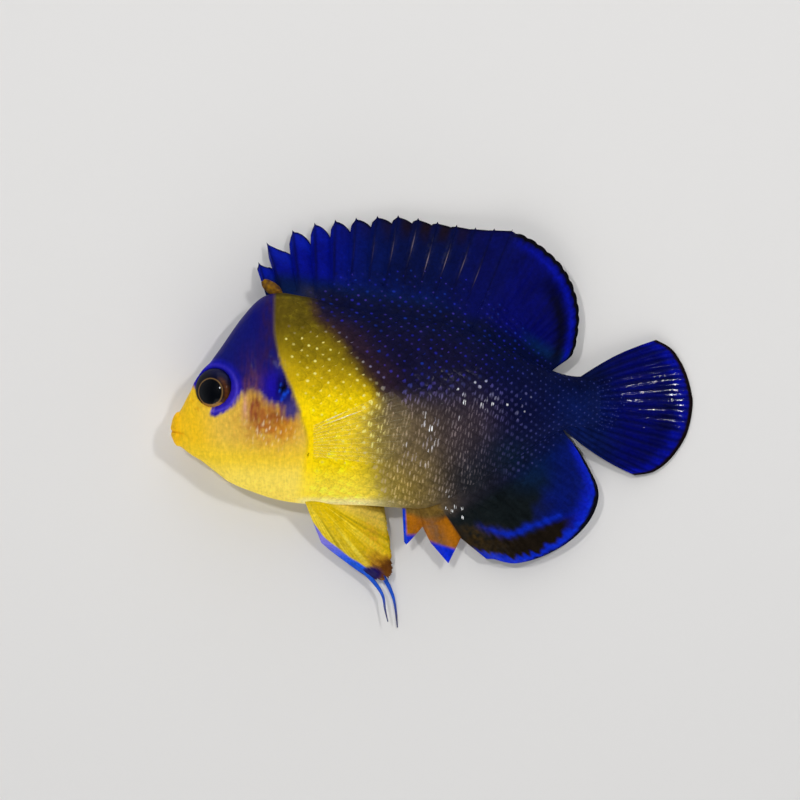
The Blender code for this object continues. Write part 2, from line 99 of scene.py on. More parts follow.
def hill(distance, width):
    """1 at no distance, falling evenly away over a width."""
    return np.exp(-(distance / width) ** 2)


def nose_round(x):
    """Share of the full section that the snout has at x."""
    short = np.maximum(snout_start + nose_length - x, 0) / nose_length
    return np.sqrt(np.maximum(1 - short ** 2, 0))


def lip(x):
    """How far the lips stand out at x, with a shallow groove behind them."""
    return lip_rise * (hill(x - 0.4, 0.3) - 0.8 * hill(x - 1.1, 0.3))


def section(x):
    """Middle and half of the body's height at x."""
    top, bottom = line_through(back_knots, x), line_through(belly_knots, x)
    return (top + bottom) / 2, ((top - bottom) / 2 + lip(x)) * nose_round(x) - scale_room * 0.5


def half_width(x, share):
    """Half the body's thickness at x, for a share of -1 at the belly to 1 at the back."""
    blunt, sharp = line_through(bluntness_knots, x), line_through(sharpness_knots, x)
    width = (line_through(width_knots, x) + lip(x)) * nose_round(x) - scale_room
    return np.maximum(width, 0.01) * np.maximum(1 - np.abs(share) ** blunt, 0) ** sharp


def middle(x):
    """Height of the fish's middle plane, which droops to the floor at the tail."""
    return line_through(middle_knots, x)


def placed(spots):
    """Points in the fish's millimetres as metres in the frame."""
    return (np.asarray(spots, float) - (middle_x, middle_y, 0)) * 0.001


def vertices(bm):
    """Points of a bmesh as an array."""
    return np.array([vert.co[:] for vert in bm.verts])


def shape(bm, spots):
    """Move a bmesh's points to their places, given in millimetres, and turn its faces outwards."""
    for vert, spot in zip(bm.verts, placed(spots).tolist()):
        vert.co = spot
    bm.normal_update()
    bmesh.ops.recalc_face_normals(bm, faces=bm.faces)


def piece(name, bm, material, slot, *nodes):
    """Smooth object from a bmesh that rides on the fish and stands for the named solids."""
    mesh = bpy.data.meshes.new(name)
    bm.to_mesh(mesh)
    bm.free()
    mesh.shade_smooth()
    item = bpy.data.objects.new(name, mesh)
    bpy.context.scene.collection.objects.link(item)
    mesh.materials.append(material)
    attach(item, "root")
    if nodes:
        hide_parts(*nodes)
    return item


def store(item, name, values):
    """Keep a colour, a place or a number for each point of a piece, for its material to read."""
    values = np.asarray(values, float)
    kind, key = "FLOAT", "value"
    if values.ndim == 2:
        kind, key = "FLOAT_COLOR", "color"
        values = np.column_stack([values, np.ones(len(values))])
    item.data.attributes.new(name, kind, "POINT").data.foreach_set(key, values.ravel())


def coat(item, tint, film=None):
    """Colour a piece point by point, and lay on its wet film by one weight or one for each point."""
    store(item, "paint", np.clip(tint, darkest, 1))
    if film is not None:
        store(item, "film", np.broadcast_to(film, len(tint)))


def linear(code):
    """Linear colour of an sRGB hex code."""
    channels = np.array([int(code[i:i + 2], 16) for i in (1, 3, 5)]) / 255
    return np.where(channels <= 0.04045, channels / 12.92, ((channels + 0.055) / 1.055) ** 2.4)


def inside(outline, x, y):
    """Distance from points to a closed outline, above 0 inside it."""
    corners = np.array(outline, float)
    nearest = np.full(np.shape(x), 1e9)
    within = np.zeros(np.shape(x), bool)
    for (x0, y0), (x1, y1) in zip(corners, np.roll(corners, -1, 0)):
        across, up = x1 - x0, y1 - y0
        t = np.clip(((x - x0) * across + (y - y0) * up) / (across ** 2 + up ** 2), 0, 1)
        nearest = np.minimum(nearest, np.hypot(x - x0 - t * across, y - y0 - t * up))
        with np.errstate(divide="ignore", invalid="ignore"):
            crossing = ((y0 > y) != (y1 > y)) & (x < x0 + (y - y0) / up * across)
        within ^= crossing
    return np.where(within, nearest, -nearest)


def grain(x, y, size, seed=0.0):
    """Even, cloudy variation from -1 to 1 over a size in millimetres."""
    spots = np.column_stack([np.ravel(x) / size, np.ravel(y) / size, np.full(np.size(x), seed)])
    return np.array([noise.noise(spot) for spot in spots.tolist()]).reshape(np.shape(x))


def painted(ground, layers):
    """Ground colour with other colours laid over it in turn, each by an amount for each point."""
    tint = linear(ground) if isinstance(ground, str) else ground
    for colour, amount in layers:
        over = linear(colour) if isinstance(colour, str) else colour
        tint = tint + (over - tint) * np.clip(amount, 0, 1)[:, None]
    return tint


mask_outline = ((1.3, 1.5), (0.5, 3.5), (6, 11), (9.6, 13.6), (10.9, 11.9), (11.15, 11.0), (11.15, 9.1),
                (11.2, 6.8), (11.35, 5.1), (11.75, 3.6), (12.2, 2.3), (12.7, 1.1), (13.1, 0), (13.5, -1.2),
                (12.9, -1.8), (12.3, -1.6), (11.6, -0.6), (10.7, -0.35), (10.0, 0.2), (9.2, 0.9),
                (8.4, 1.1), (7.5, 0.8), (7.0, 0.1), (6.1, -1.05), (5.1, -1.62), (4.4, -1.5), (4.4, 1.05))
dark_outline = ((14.2, 20), (14.2, 12.5), (14.9, 10.5), (15.7, 8.4), (17.2, 6.9), (18.8, 5.0), (20.2, 3.2),
                (21.6, 1.7), (21.9, 0.3), (21.5, -1.3), (21.7, -3.1), (22.0, -5.1), (22.6, -7.4),
                (23.8, -12.5), (24, -20), (60, -20), (60, 20))
mask_dots = ((12.0, 0.55, 0.2), (11.7, 0.1, 0.15), (12.35, 0.95, 0.13), (11.6, 1.5, 0.1), (11.5, 0.9, 0.1))


def markings(x, y):
    """Colour of skin and scales at points seen from the side; both sides are alike."""
    wander = 0.25 * grain(x, y, 1.1, 3.0) + 0.16 * grain(x, y, 0.35, 5.0)
    cloud, fleck = grain(x, y, 2.3, 9.0), grain(x, y, 0.5, 14.0)
    stripe = grain(x, y * 0.3, 0.32, 17.0)
    cover = line_through(cover_edge_knots, y) - x
    seam = 0.3 + 0.5 * step_up(-5, -9, y)
    on_head = step_up(-seam, seam, cover)
    above = line_through(back_knots, x) - y
    around_eye = np.hypot(x - eye_centre[0], y - eye_centre[1])

    def patch(at_x, at_y, wide, high):
        """Soft round patch of a width and height."""
        return hill(x - at_x, wide) * hill(y - at_y, high)

    head = painted("#e4bc48", [
        ("#f0c020", step_up(5.2, 1.8, x + 0.2 * y)),
        ("#f2cc30", step_up(-3.6, -6.4, y + wander)),
        ("#fbde5c", 0.9 * step_up(-5.8, -8.4, y)),
        ("#b8702c", 1.2 * patch(10.3, -2.0, 3.0, 2.6) * (0.75 + 0.5 * cloud + 0.9 * fleck)),
        ("#8a4628", 1.1 * patch(8.9, -0.9, 0.8, 2.2) * (0.75 + 0.9 * stripe)),
        ("#d08418", 0.75 * patch(12.1, -2.9, 1.3, 1.3) * (0.9 + 0.5 * fleck)),
        ("#804426", 0.6 * patch(11.2, -1.7, 1.6, 1.2) * (0.9 + 0.8 * stripe)),
        ("#d09a80", 0.8 * patch(7.9, -0.9, 0.35, 1.5) * (0.8 + 0.8 * stripe)),
        # painted highlight: small pale cream glints on the wet cheek, painted into its colour
        ("#f4e4b8", 0.8 * step_up(0.3, 0.5, grain(x, y, 0.22, 19.0)) * patch(10.6, -3.0, 2.2, 1.8)),
        ("#f2b814", 0.8 * step_up(1.3, 0.5, x) * step_up(-5.0, -4.2, y)),
    ])
    far_in = inside(dark_outline, x, y) + wander * 1.5 + 0.3 * cloud
    rear = painted("#0d0b2c", [
        ("#2e1c24", 0.8 * step_up(4.0, 0.5, far_in) * step_up(-3, 2, y)),
        ("#68583f", 1.1 * hill(x - 24.6, 4.8) * step_up(2.0, -3.0, y + 0.12 * (x - 24))),
        ("#3c3236", 0.7 * patch(30.5, -3.0, 4.0, 3.6)),
        ("#806a2c", 0.95 * patch(24.2, -9.6, 3.4, 3.6)),
        ("#1b1e22", 0.85 * patch(31.5, -8.5, 3.2, 3.2)),
        ("#081a2c", 0.9 * patch(36.2, -5.6, 3.4, 2.6)),
        ("#070e36", 0.8 * step_up(31, 37, x + 0.5 * y + wander * 2)),
        ("#08164a", step_up(37.5, 43, x)),
        ("#030a30", 0.85 * step_up(3.2, 0.4, above + wander)),
    ]) * (1 + 0.35 * fleck + 0.25 * cloud)[:, None]
    mask = painted("#0f1468", [
        ("#0c1068", step_up(5.0, 9.0, y + wander)),
        ("#2c1640", 0.65 * hill(x - 10.3, 0.95) * step_up(1.5, 4.0, y) * (0.8 + stripe)),
        ("#3a1e4a", 0.65 * patch(8.7, 2.8, 1.6, 2.6) * (0.75 + 0.9 * stripe)),
        ("#6a3c4c", 1.1 * patch(8.7, 1.1, 1.0, 1.5) * (0.7 + 0.9 * stripe + 0.5 * fleck)),
        ("#1c0fa0", 0.95 * patch(10.8, 1.4, 1.2, 1.7)),
        ("#2a2460", 0.5 * step_up(1.2, 0.3, above)),
        ("#1615a4", 0.9 * step_up(3.4, 2.5, around_eye)),
        ("#2e1ea0", 0.9 * step_up(3.0, 2.6, around_eye) * step_up(2.6, 0.6, y)),
        ("#5648d0", (0.3 + 0.4 * step_up(3.4, 1.4, y)) * hill(around_eye - 2.42, 0.14)),
        ("#4c4180", 0.8 * patch(12.7, -1.0, 0.8, 0.9)),
        ("#03030c", (1.3 + stripe) * hill(np.hypot((x - 11.75) * 1.7, y - 1.3), 0.95)),
        *(("#1548d8", 1.2 * hill(np.hypot(x - dot_x, (y - dot_y) * 0.8), radius))
          for dot_x, dot_y, radius in mask_dots),
    ])
    soft = 0.8 + 2.2 * step_up(3.0, -4.0, y)
    blur = 0.28 + 0.5 * step_up(6, 8.5, x) * step_up(3.0, -0.5, y)
    mask_in = inside(mask_outline, x, y) + 0.7 * wander + 0.25 * stripe
    tint = painted("#fcd806", [
        ("#ffe040", 0.85 * step_up(-6.6, -9.4, y)),
        # pale cream belly edge: its own colour, lightened further as painted light against the shade where
        # the belly turns down
        ("#fdeca0", 0.9 * step_up(-9.9, -10.8, y)),
        ("#c4a20a", 0.9 * step_up(-1.0, 2.5, y + wander)),
        ("#7d690c", 0.95 * step_up(1.6, 5.6, y + 0.25 * (x - 15) + wander)),
        ("#57480c", 0.95 * step_up(5.5, 8.6, y + wander)),
        ("#9a8a18", 0.3 * step_up(0.1, 0.6, fleck) * step_up(1, 4, y)),
        (head, on_head),
        ("#4a3212", 0.9 * step_up(-1.2 * soft, 0.2, far_in) * step_up(-1.5, 1.5, y) * (1 - on_head)),
        ("#6e5e34", 0.8 * step_up(-1.3 * soft, 0.5, far_in) * step_up(0.8, -2.0, y)),
        ("#3a3210", 0.8 * step_up(0.75, 0.1, above) * (1 - on_head)),
        (rear, step_up(-0.7 * soft, 0.9 * soft, far_in)),
        (mask, step_up(-blur, blur * 0.6, mask_in) * step_up(-0.4, 0.05, cover)),
        ("#3a2a12", 0.3 * hill(cover + 0.05, 0.14) * step_up(-8, -2, y)),
    ])
    return np.clip(tint, darkest, 1)


def relief(x, y, share):
    """How far gill cover, cheek plate, lips and nostrils stand out of the skin or sink into it."""
    cover = line_through(cover_edge_knots, share * 11) - x
    cheek = line_through(cheek_edge_knots, share * 10) - x
    edges = 0.24 * step_up(3.5, 0.3, cover) * step_up(-0.16, 0.02, cover) - 0.05 * hill(cover + 0.2, 0.16)
    edges += 0.16 * step_up(4, 0, cheek) * step_up(-0.5, 0, cheek) - 0.05 * hill(cheek + 0.35, 0.25)
    out = edges * (1 - share ** 4) * step_up(-9.3, -7.0, y)
    for nostril_x, nostril_y, radius in ((2.2, -0.1, 0.2), (2.75, -0.9, 0.25)):
        far = np.hypot(x - nostril_x, y - nostril_y)
        out += 0.05 * hill(far - radius * 1.25, 0.1) - 0.3 * step_up(radius * 1.1, radius * 0.5, far)
    mouth = y - (-3.3 - 0.18 * x)
    front = step_up(1.5, 1.05, x)
    out += front * (0.04 * hill(np.abs(mouth) - 0.42, 0.22) - 0.2 * hill(mouth, 0.09))
    out += -0.1 * hill(np.hypot(x - 1.7, y + 4.0), 0.35) + 0.05 * hill(cheek - 3.2, 0.8) * hill(y + 3, 2.5)
    return out


def eye_frame(side):
    """Turn and centre of the eye on a side, side being 1 for the left and -1 for the right."""
    turn = Matrix.Rotation(-eye_forward * side, 3, "Y") @ Matrix.Rotation(-eye_upward * side, 3, "X")
    return np.array(turn), np.array((eye_centre[0], eye_centre[1], mid_height + side * eye_centre[2]))


def fit_orbit(spots, side):
    """Bring the skin round the eye to the eyeball's rim, and sink it under the ball."""
    turn, centre = eye_frame(side)
    axis = turn[:, 2] * side
    away = spots - centre
    up = away @ axis
    far = np.linalg.norm(away - up[:, None] * axis, axis=1)
    weight = step_up(0.35, 1.2, side * (spots[:, 2] - mid_height))
    rim = 0.26 - 0.75 * step_up(2.05, 1.75, far)
    wanted = rim + (up - rim) * step_up(2.12, 3.3, far) + 0.07 * hill(far - 2.3, 0.2)
    return spots + ((wanted - up) * weight)[:, None] * axis


pectoral_root = ((15.0, -2.7), (15.0, -5.8))
pectoral_margin = ((23.2, 0.9), (24.7, -0.6), (25.1, -2.6), (24.3, -4.8), (22.2, -6.6))
right_fin_outline = (pectoral_root[0], *pectoral_margin, pectoral_root[1])


def rest_on_floor(spots, lowest):
    """Flatten what would sink into the floor, and leave room for the fin folded under the body."""
    give, folded_fin_room = 0.3, 0.5
    x, y, height = spots.T
    floor = lowest + folded_fin_room * step_up(-0.55, 0.05, inside(right_fin_outline, x, y))
    sunk = np.minimum(height - floor - give, 0)
    return np.column_stack([x, y, np.where(sunk < 0, floor + give * np.exp(sunk / give), height)])


bm = bmesh.new()
bmesh.ops.create_uvsphere(bm, u_segments=220, v_segments=330, radius=1)
unit = vertices(bm)
station = np.arccos(np.clip(unit[:, 2], -1, 1)) / math.pi
turn_round = np.arctan2(unit[:, 1], unit[:, 0])
at_pole = (station < 1e-4) | (station > 1 - 1e-4)
skin_x = snout_start + (skin_end - snout_start) * station ** 1.5
skin_centre, skin_half = section(skin_x)
skin_share = np.where(at_pole, 0, np.sin(turn_round))
skin_y = skin_centre + skin_half * skin_share
reach = np.where(at_pole, 0, half_width(skin_x, skin_share) * np.sign(np.cos(turn_round)))
skin_spots = np.column_stack([skin_x, skin_y, middle(skin_x) + reach])
shape(bm, skin_spots)
outward = np.array([vert.normal[:] for vert in bm.verts])
skin_spots += outward * relief(skin_x, skin_y, skin_share)[:, None]
for side, _ in sides:
    skin_spots = fit_orbit(skin_spots, side)
skin_spots = rest_on_floor(skin_spots, 0.04)
shape(bm, skin_spots)


def feed(made, inputs):
    """Give a node's inputs, by name or number, a fixed value or a link from a socket or a node."""
    for key, value in inputs.items():
        if isinstance(value, bpy.types.Node):
            value = value.outputs[0]
        if isinstance(value, bpy.types.NodeSocket):
            made.id_data.links.new(value, made.inputs[key])
        else:
            made.inputs[key].default_value = value


def node(tree, kind, inputs=(), **settings):
    """Add a node with its settings and inputs, placed to the right of those before it."""
    made = tree.nodes.new("ShaderNode" + kind)
    made.location = (200 * len(tree.nodes), -100)
    for name, value in settings.items():
        setattr(made, name, value)
    feed(made, dict(inputs))
    return made


def new_material(name, **shader):
    """Material with a Principled shader whose constant sockets are set by name."""
    material = bpy.data.materials.new(name)
    material.use_nodes = True
    principled = material.node_tree.nodes["Principled BSDF"]
    feed(principled, {socket.replace("_", " "): value for socket, value in shader.items()})
    return material, material.node_tree, principled


# Wet fish skin: mucus over thin translucent skin, so a sharp clear film over a softer, slightly
# see-through ground. The colour comes with the mesh and is broken up here by fine mottling.
skin_film = dict(Roughness=0.45, IOR=1.4, Specular_IOR_Level=0.03, Coat_Roughness=0.1, Coat_IOR=1.33,
                 Subsurface_Weight=0.08, Subsurface_Radius=(1.0, 0.5, 0.2), Subsurface_Scale=0.0006)
skin_wet, tree, principled = new_material("wet_skin", **skin_film)
paint = node(tree, "VertexColor", layer_name="paint")
film = node(tree, "Attribute", attribute_name="film")
where = node(tree, "TexCoord").outputs["Object"]
mottle = node(tree, "TexNoise", {"Vector": where, "Scale": 2600, "Detail": 3})
lift = node(tree, "MapRange", {0: mottle, 3: 0.74, 4: 1.26})
stretched = node(tree, "Mapping", {"Vector": where, "Scale": (5200, 1100, 1100)})
streaks = node(tree, "TexNoise", {"Vector": stretched, "Scale": 1, "Detail": 2})
comb = node(tree, "MapRange", {0: streaks, 1: 0.3, 2: 0.7, 3: 0.92, 4: 1.08})
both = node(tree, "Math", {0: lift, 1: comb}, operation="MULTIPLY")
toned = node(tree, "VectorMath", {"Vector": paint, "Scale": both}, operation="SCALE")
pores = node(tree, "TexVoronoi", {"Vector": where, "Scale": 2600}, feature="SMOOTH_F1")
rough = node(tree, "Math", {0: pores, 1: streaks}, operation="ADD")
bump = node(tree, "Bump", {"Height": rough, "Strength": 0.35, "Distance": 0.00006})
feed(principled, {"Base Color": toned, "Coat Weight": film.outputs["Fac"], "Normal": bump,
                  "Coat Normal": bump})

skin = piece("fish_skin", bm, skin_wet, "body_skin", "head", "lower_jaw", "trunk", "tail_peduncle")
x, y = skin_spots[:, 0], skin_spots[:, 1]
drops = 0.3 * hill(x - 10.3, 1.1) * hill(y + 3.3, 1.0) + 0.35 * hill(x - 13.3, 0.5) * hill(y + 3.9, 0.6)
coat(skin, markings(x, y), 0.035 + drops + 0.12 * hill(x - 9.0, 0.8) * hill(y - 1.2, 0.5))

# Scales
# Thin overlapping plates in slanting rows, rooted in the skin, that lie back along the body and
# end short of the head. Each has a pale or blue fleck of pigment in its middle, as the real ones have,
# but along two lines over flank and anal fin some flecks are painted white as sparkle highlights.

rows_towards = np.array((85.0, -3.0))
pitch_distance = 63.0
row_step = complex(1.36, 0.27) / pitch_distance
slant_step = complex(0.70, -0.44) / pitch_distance
scale_length, scale_breadth = 0.9, 0.66
bake_length, bake_start, baked_scale = 60, 0.02, 0.0015
stations = np.linspace(8, 45.4, 300)
shares = np.linspace(-0.995, 0.995, 161)
station_grid, share_grid = np.meshgrid(stations, shares, indexing="ij")
section_centre, section_half = section(station_grid)
section_y = section_centre + section_half * share_grid
section_z = half_width(station_grid, share_grid)
step_length = np.hypot(np.diff(section_y, axis=1), np.diff(section_z, axis=1))
arc = np.concatenate([np.zeros((len(stations), 1)), np.cumsum(step_length, axis=1)], axis=1)
arc -= arc[:, [len(shares) // 2]]
arc += section_y[:, [len(shares) // 2]]


def along(points, share):
    """Points at shares, 0 to 1, of the way along a smooth curve through a few points."""
    spots = np.array(points, float)
    padded = np.vstack([spots[:1], spots, spots[-1:]])
    t = np.linspace(0, 1, 13)[1:, None]
    trail = [spots[:1]]
    for before, start, end, after in zip(padded, padded[1:], padded[2:], padded[3:]):
        curve = 2 * start + t * (end - before) + t ** 2 * (2 * before - 5 * start + 4 * end - after)
        trail.append(0.5 * (curve + t ** 3 * (3 * start - before - 3 * end + after)))
    trail = np.vstack(trail)
    far = np.concatenate([[0], np.cumsum(np.linalg.norm(np.diff(trail, axis=0), axis=1))])
    return np.column_stack([np.interp(np.asarray(share) * far[-1], far, part) for part in trail.T])


def surface_tree(item):
    """Search tree over a piece's surface, for what is laid on it."""
    return BVHTree.FromPolygons([v.co for v in item.data.vertices], [p.vertices for p in item.data.polygons])


def off_curve(curve, x, y):
    """Distance from points to the nearest of a curve's points."""
    return np.min(np.hypot(x[:, None] - curve[:, 0], y[:, None] - curve[:, 1]), axis=1)


def lattice():
    """Roots of slanting rows of scales that close up towards the tail, as x, height and size."""
    start = np.log(complex(*(np.array((22.0, -1.0)) - rows_towards)))
    i, j = np.meshgrid(np.arange(-90, 60), np.arange(-110, 110), indexing="ij")
    spots = np.exp(start - i * row_step + j * slant_step).ravel()
    places = np.column_stack([spots.real + rows_towards[0], spots.imag + rows_towards[1],
                              np.abs(spots) / pitch_distance])
    return places[(places[:, 0] > 9) & (places[:, 0] < 45.2) & (np.abs(places[:, 1] + 2) < 22)]


def bake_place(x):
    """Place in the bake map, along the fish, of a scale rooted at x."""
    return x / bake_length + bake_start


def body_roots(side):
    """Roots of the scales on one side of the body, at their heights measured round its surface."""
    roots = []
    rng = np.random.default_rng(11 if side > 0 else 12)
    for x, height, size in lattice():
        x, height = (x, height) + rng.normal(0, 0.07, 2) * size
        i = min(np.searchsorted(stations, x), len(stations) - 1)
        share = np.interp(height, arc[i], shares, left=2, right=2)
        behind_cover = x - line_through(cover_edge_knots, share * 11)
        if abs(share) < 0.98 and behind_cover > 0.85 * size:
            centre, half = section(x)
            y = centre + half * share
            out = side * half_width(x, share)
            roots.append((x, y, middle(x) + out, size, bake_place(x), math.atan2(out, y) / math.tau % 1))
    return np.array(roots)


def scale_template():
    """One plate: its mesh, and for each point the ring it is in, its place along, across and through."""
    bm = bmesh.new()
    bmesh.ops.create_uvsphere(bm, u_segments=9, v_segments=6, radius=1)
    ring = np.array([round(math.degrees(math.acos(max(min(v.co.z, 1), -1))) / 30) for v in bm.verts])
    turn = np.array([math.atan2(v.co.y, v.co.x) for v in bm.verts])
    radius = np.array((0, 0.11, 0.23, 0.96, 1.0, 0.6, 0))[ring]
    level = np.array((0.01, 0.01, 0.009, 0.001, -0.003, -0.02, -0.02))[ring]
    along_scale = radius * np.cos(turn)
    across_scale = radius * np.sin(turn) * (1 - 0.12 * along_scale)
    mesh = bpy.data.meshes.new("scale")
    bm.to_mesh(mesh)
    bm.free()
    return mesh, along_scale, across_scale, level


def build_scales(side, roots, ground, lift):
    """Scales laid on a surface at their roots and raised at their rear edge, with their points' places."""
    tree, faces = surface_tree(ground), ground.data.polygons
    mesh, along_scale, across_scale, level = scale_template()
    rng = np.random.default_rng(7 if side > 0 else 8)
    lowest_root, widest_gap, lowest_point, plate_lead = 0.00012, 0.0008, 0.00002, 0.2
    bm = bmesh.new()
    spots, under, flecks, corners = [], [], [], []
    for x, y, z, pitch, u, v in roots:
        found, normal, _, gap = tree.find_nearest(Vector(placed((x, y, z))))
        if found.z < lowest_root or gap > widest_gap or side * normal.z < -0.4:
            continue
        away = Vector((rows_towards[0] - x, rows_towards[1] - y, 0))
        rear = (away - away.dot(normal) * normal).normalized()
        rear.rotate(Matrix.Rotation(-0.18 * side + rng.normal(0, 0.05), 3, normal))
        across = normal.cross(rear)
        size = pitch * rng.normal(1, 0.04)
        tilt = lift * rng.normal(1, 0.35)
        lean = rng.normal(0, 0.25) * lift
        for a, b, up in zip(along_scale * scale_length * size, across_scale * scale_breadth * size, level):
            offset = rear * (a + plate_lead * size) + across * b
            near, facing, index, _ = tree.find_nearest(found + offset * 0.001)
            rise = up + tilt * (a / size + 0.1) + lean * b / size - 0.002
            spots.append(near + facing * rise * 0.001)
            under.append(faces[index].vertices[0])
        flecks.append(rng.normal(1, 0.5))
        corners.append((u, v))
        bm.from_mesh(mesh)
    for vert, spot in zip(bm.verts, spots):
        vert.co = spot
        vert.co.z = max(vert.co.z, lowest_point)
    bm.normal_update()
    bmesh.ops.recalc_face_normals(bm, faces=bm.faces)
    uv = bm.loops.layers.uv.new("OFBake")
    for face in bm.faces:
        for loop in face.loops:
            number, k = divmod(loop.vert.index, len(level))
            u, v = corners[number]
            loop[uv].uv = (u + baked_scale * along_scale[k], v + baked_scale * across_scale[k])
    bpy.data.meshes.remove(mesh)
    places = np.array([spot[:] for spot in spots]) * 1000 + (middle_x, middle_y, 0)
    local = np.tile(np.column_stack([along_scale, across_scale]), (len(flecks), 1))
    return bm, places, np.array(under), np.repeat(flecks, len(level)), local


# Wet scale: clear mucus over a thin plate whose pigment shows through. Each plate has one fleck,
# round and blue or yellow on back and flank, a silvery upright bar over the belly; along two lines
# some flecks are painted white or grey instead, as painted sparkle highlights.
scale_film = dict(skin_film, Roughness=0.4, Coat_Roughness=0.05)
wet_scale, tree, principled = new_material("wet_scale", **scale_film)
paint = node(tree, "VertexColor", layer_name="paint")
fleck = node(tree, "VertexColor", layer_name="fleck")
plate = node(tree, "Attribute", attribute_name="plate")
strength = node(tree, "Attribute", attribute_name="strength")
where = node(tree, "TexCoord").outputs["Object"]
along_plate, across_plate, silvery = node(tree, "SeparateXYZ", {0: plate.outputs["Vector"]}).outputs
aside = node(tree, "Math", {0: along_plate}, operation="ABSOLUTE")
paired = node(tree, "Math", {0: silvery, 1: -2.2, 2: aside}, operation="MULTIPLY_ADD")
flat = node(tree, "CombineXYZ", {"X": paired, "Y": across_plate})
off_fleck = node(tree, "VectorMath", {0: flat}, operation="LENGTH").outputs["Value"]
rim = node(tree, "Math", {0: silvery, 1: 2.6, 2: 0.8}, operation="MULTIPLY_ADD")
upright = node(tree, "Mapping", {"Vector": where, "Scale": (6500, 3000, 1500)})
fringe = node(tree, "TexNoise", {"Vector": upright, "Scale": 1, "Detail": 2})
ragged_edge = node(tree, "MapRange", {0: fringe, 3: -0.5, 4: 0.5})
ragged = node(tree, "Math", {0: ragged_edge, 1: rim, 2: off_fleck}, operation="MULTIPLY_ADD")
within = node(tree, "MapRange", {0: ragged, 1: 1.35, 2: 0.45})
patchy = node(tree, "TexNoise", {"Vector": upright, "Scale": 0.55, "Detail": 1})
uneven = node(tree, "MapRange", {0: patchy, 1: 0.32, 2: 0.68, 3: 0.05, 4: 1.6})
kept = node(tree, "Mix", {0: silvery, 2: 1.0, 3: uneven})
marked = node(tree, "Math", {0: within, 1: strength.outputs["Fac"]}, operation="MULTIPLY")
shown = node(tree, "Math", {0: marked, 1: kept}, operation="MULTIPLY", use_clamp=True)
fine = node(tree, "TexNoise", {"Vector": where, "Scale": 4200, "Detail": 2})
lift = node(tree, "MapRange", {0: fine, 1: 0.3, 2: 0.7, 3: 0.84, 4: 1.16})
toned = node(tree, "VectorMath", {"Vector": paint, "Scale": lift}, operation="SCALE")
flecked = node(tree, "Mix", {0: shown, 6: toned, 7: fleck}, data_type="RGBA")
pools = node(tree, "TexNoise", {"Vector": where, "Scale": 3000, "Detail": 1})
wet = node(tree, "MapRange", {0: pools, 1: 0.56, 2: 0.64, 3: 0.02, 4: 0.09})
bump = node(tree, "Bump", {"Height": fine, "Strength": 0.35, "Distance": 0.00005})
feed(principled, {"Base Color": flecked.outputs[2], "Coat Weight": wet, "Normal": bump, "Coat Normal": bump})

# Lines over flank and anal fin along which scale flecks are painted as white sparkle highlights.
painted_sparkle_lines = (
    ((36.4, -0.4), (34.6, 0.0), (31.4, 0.9), (29.2, -0.8), (27.2, -2.7), (26.0, -4.6), (25.2, -6.5)),
    ((27.6, -10.6), (29.2, -11.8), (31.3, -12.9), (33.5, -13.6), (35.5, -14.1)),
)


def dress_scales(name, side, roots, ground, lift, slot):
    """Piece of scales over another piece: its colours, and each plate's fleck with its place on the plate."""
    bm, spots, under, chance, local = build_scales(side, roots, ground, lift)
    scales = piece(name, bm, wet_scale, slot)
    colours = np.empty(len(ground.data.vertices) * 4)
    ground.data.attributes["paint"].data.foreach_get("color", colours)
    below = colours.reshape(-1, 4)[under, :3]
    x, y = spots[:, 0], spots[:, 1]
    edge = np.hypot(local[:, 0], local[:, 1])
    coat(scales, below * (1.17 - 0.25 * edge + 0.12 * (chance - 1))[:, None])
    far_in = inside(dark_outline, x, y)
    yellow = step_up(1.5, -1.0, far_in) * step_up(-8.5, -3, y) * step_up(8.2, 6.2, y)
    silver = step_up(-2.5, 0.8, far_in) * step_up(3.2, -1.5, y - 0.05 * (x - 24)) * step_up(40, 31, x)
    back = step_up(-0.6, 1.5, far_in) * (1 - silver)
    mixed = (chance * 7.3) % 1
    # painted highlight: scales near the lines get larger grey and white flecks that stand in for wet sparkles
    painted_sparkle_path = np.vstack([along(line, np.linspace(0, 1, 16)) for line in painted_sparkle_lines])
    bright = step_up(1.9, 0.5, off_curve(painted_sparkle_path, x, y))
    spark = bright * step_up(1.4, 1.5, chance) * (0.35 + 0.65 * silver)
    tint = painted("#1e22a8", [
        ("#40329c", step_up(0.5, 0.9, mixed) * step_up(36, 30, x)),
        ("#12309c", step_up(0.25, 0.1, mixed)),
        ("#3c4070", 0.8 * step_up(33, 38, x) * step_up(4.5, 2.0, y - 0.2 * (x - 36))),
        (below * 2.1 + (0.11, 0.088, 0.085), silver),
        # painted sparkle highlights: grey flecks, then white ones, near the lines
        ("#9a98a8", 0.6 * bright * step_up(0.9, 1.5, chance)),
        ("#ffffff", spark),
        ("#f6ea80", yellow),
    ])
    store(scales, "fleck", np.clip(tint, darkest, 1))
    behind = local[:, 0] - 0.3 * silver
    plate = np.column_stack([behind / (0.17 - 0.08 * silver), local[:, 1] / (0.2 + 0.42 * silver)])
    small = 1 + spark * (0.4 + 2.4 * (1 - silver) + 0.5 * step_up(-10, -11.5, y))
    small += 0.3 * yellow + 0.3 * (mixed - 0.5)
    store(scales, "plate", np.column_stack([plate * small[:, None], silver]))
    shown = np.clip(chance, 0.1 + 0.6 * yellow, 1.5) * (1 + 0.6 * spark)
    plain = 0.6 * step_up(31.0, 34.5, x) * step_up(-1.6, -3.4, y) * (1 - bright)
    shown *= 0.56 * back + 0.62 * yellow + (0.62 - plain) * silver
    off_belly = step_up(-11.6, -10.4, y + 0.3 * (26 - x))
    store(scales, "strength", shown * np.maximum(off_belly, spark))


for side, word in sides:
    dress_scales("scales_" + word, side, body_roots(side), skin, 0.015, "body_skin")

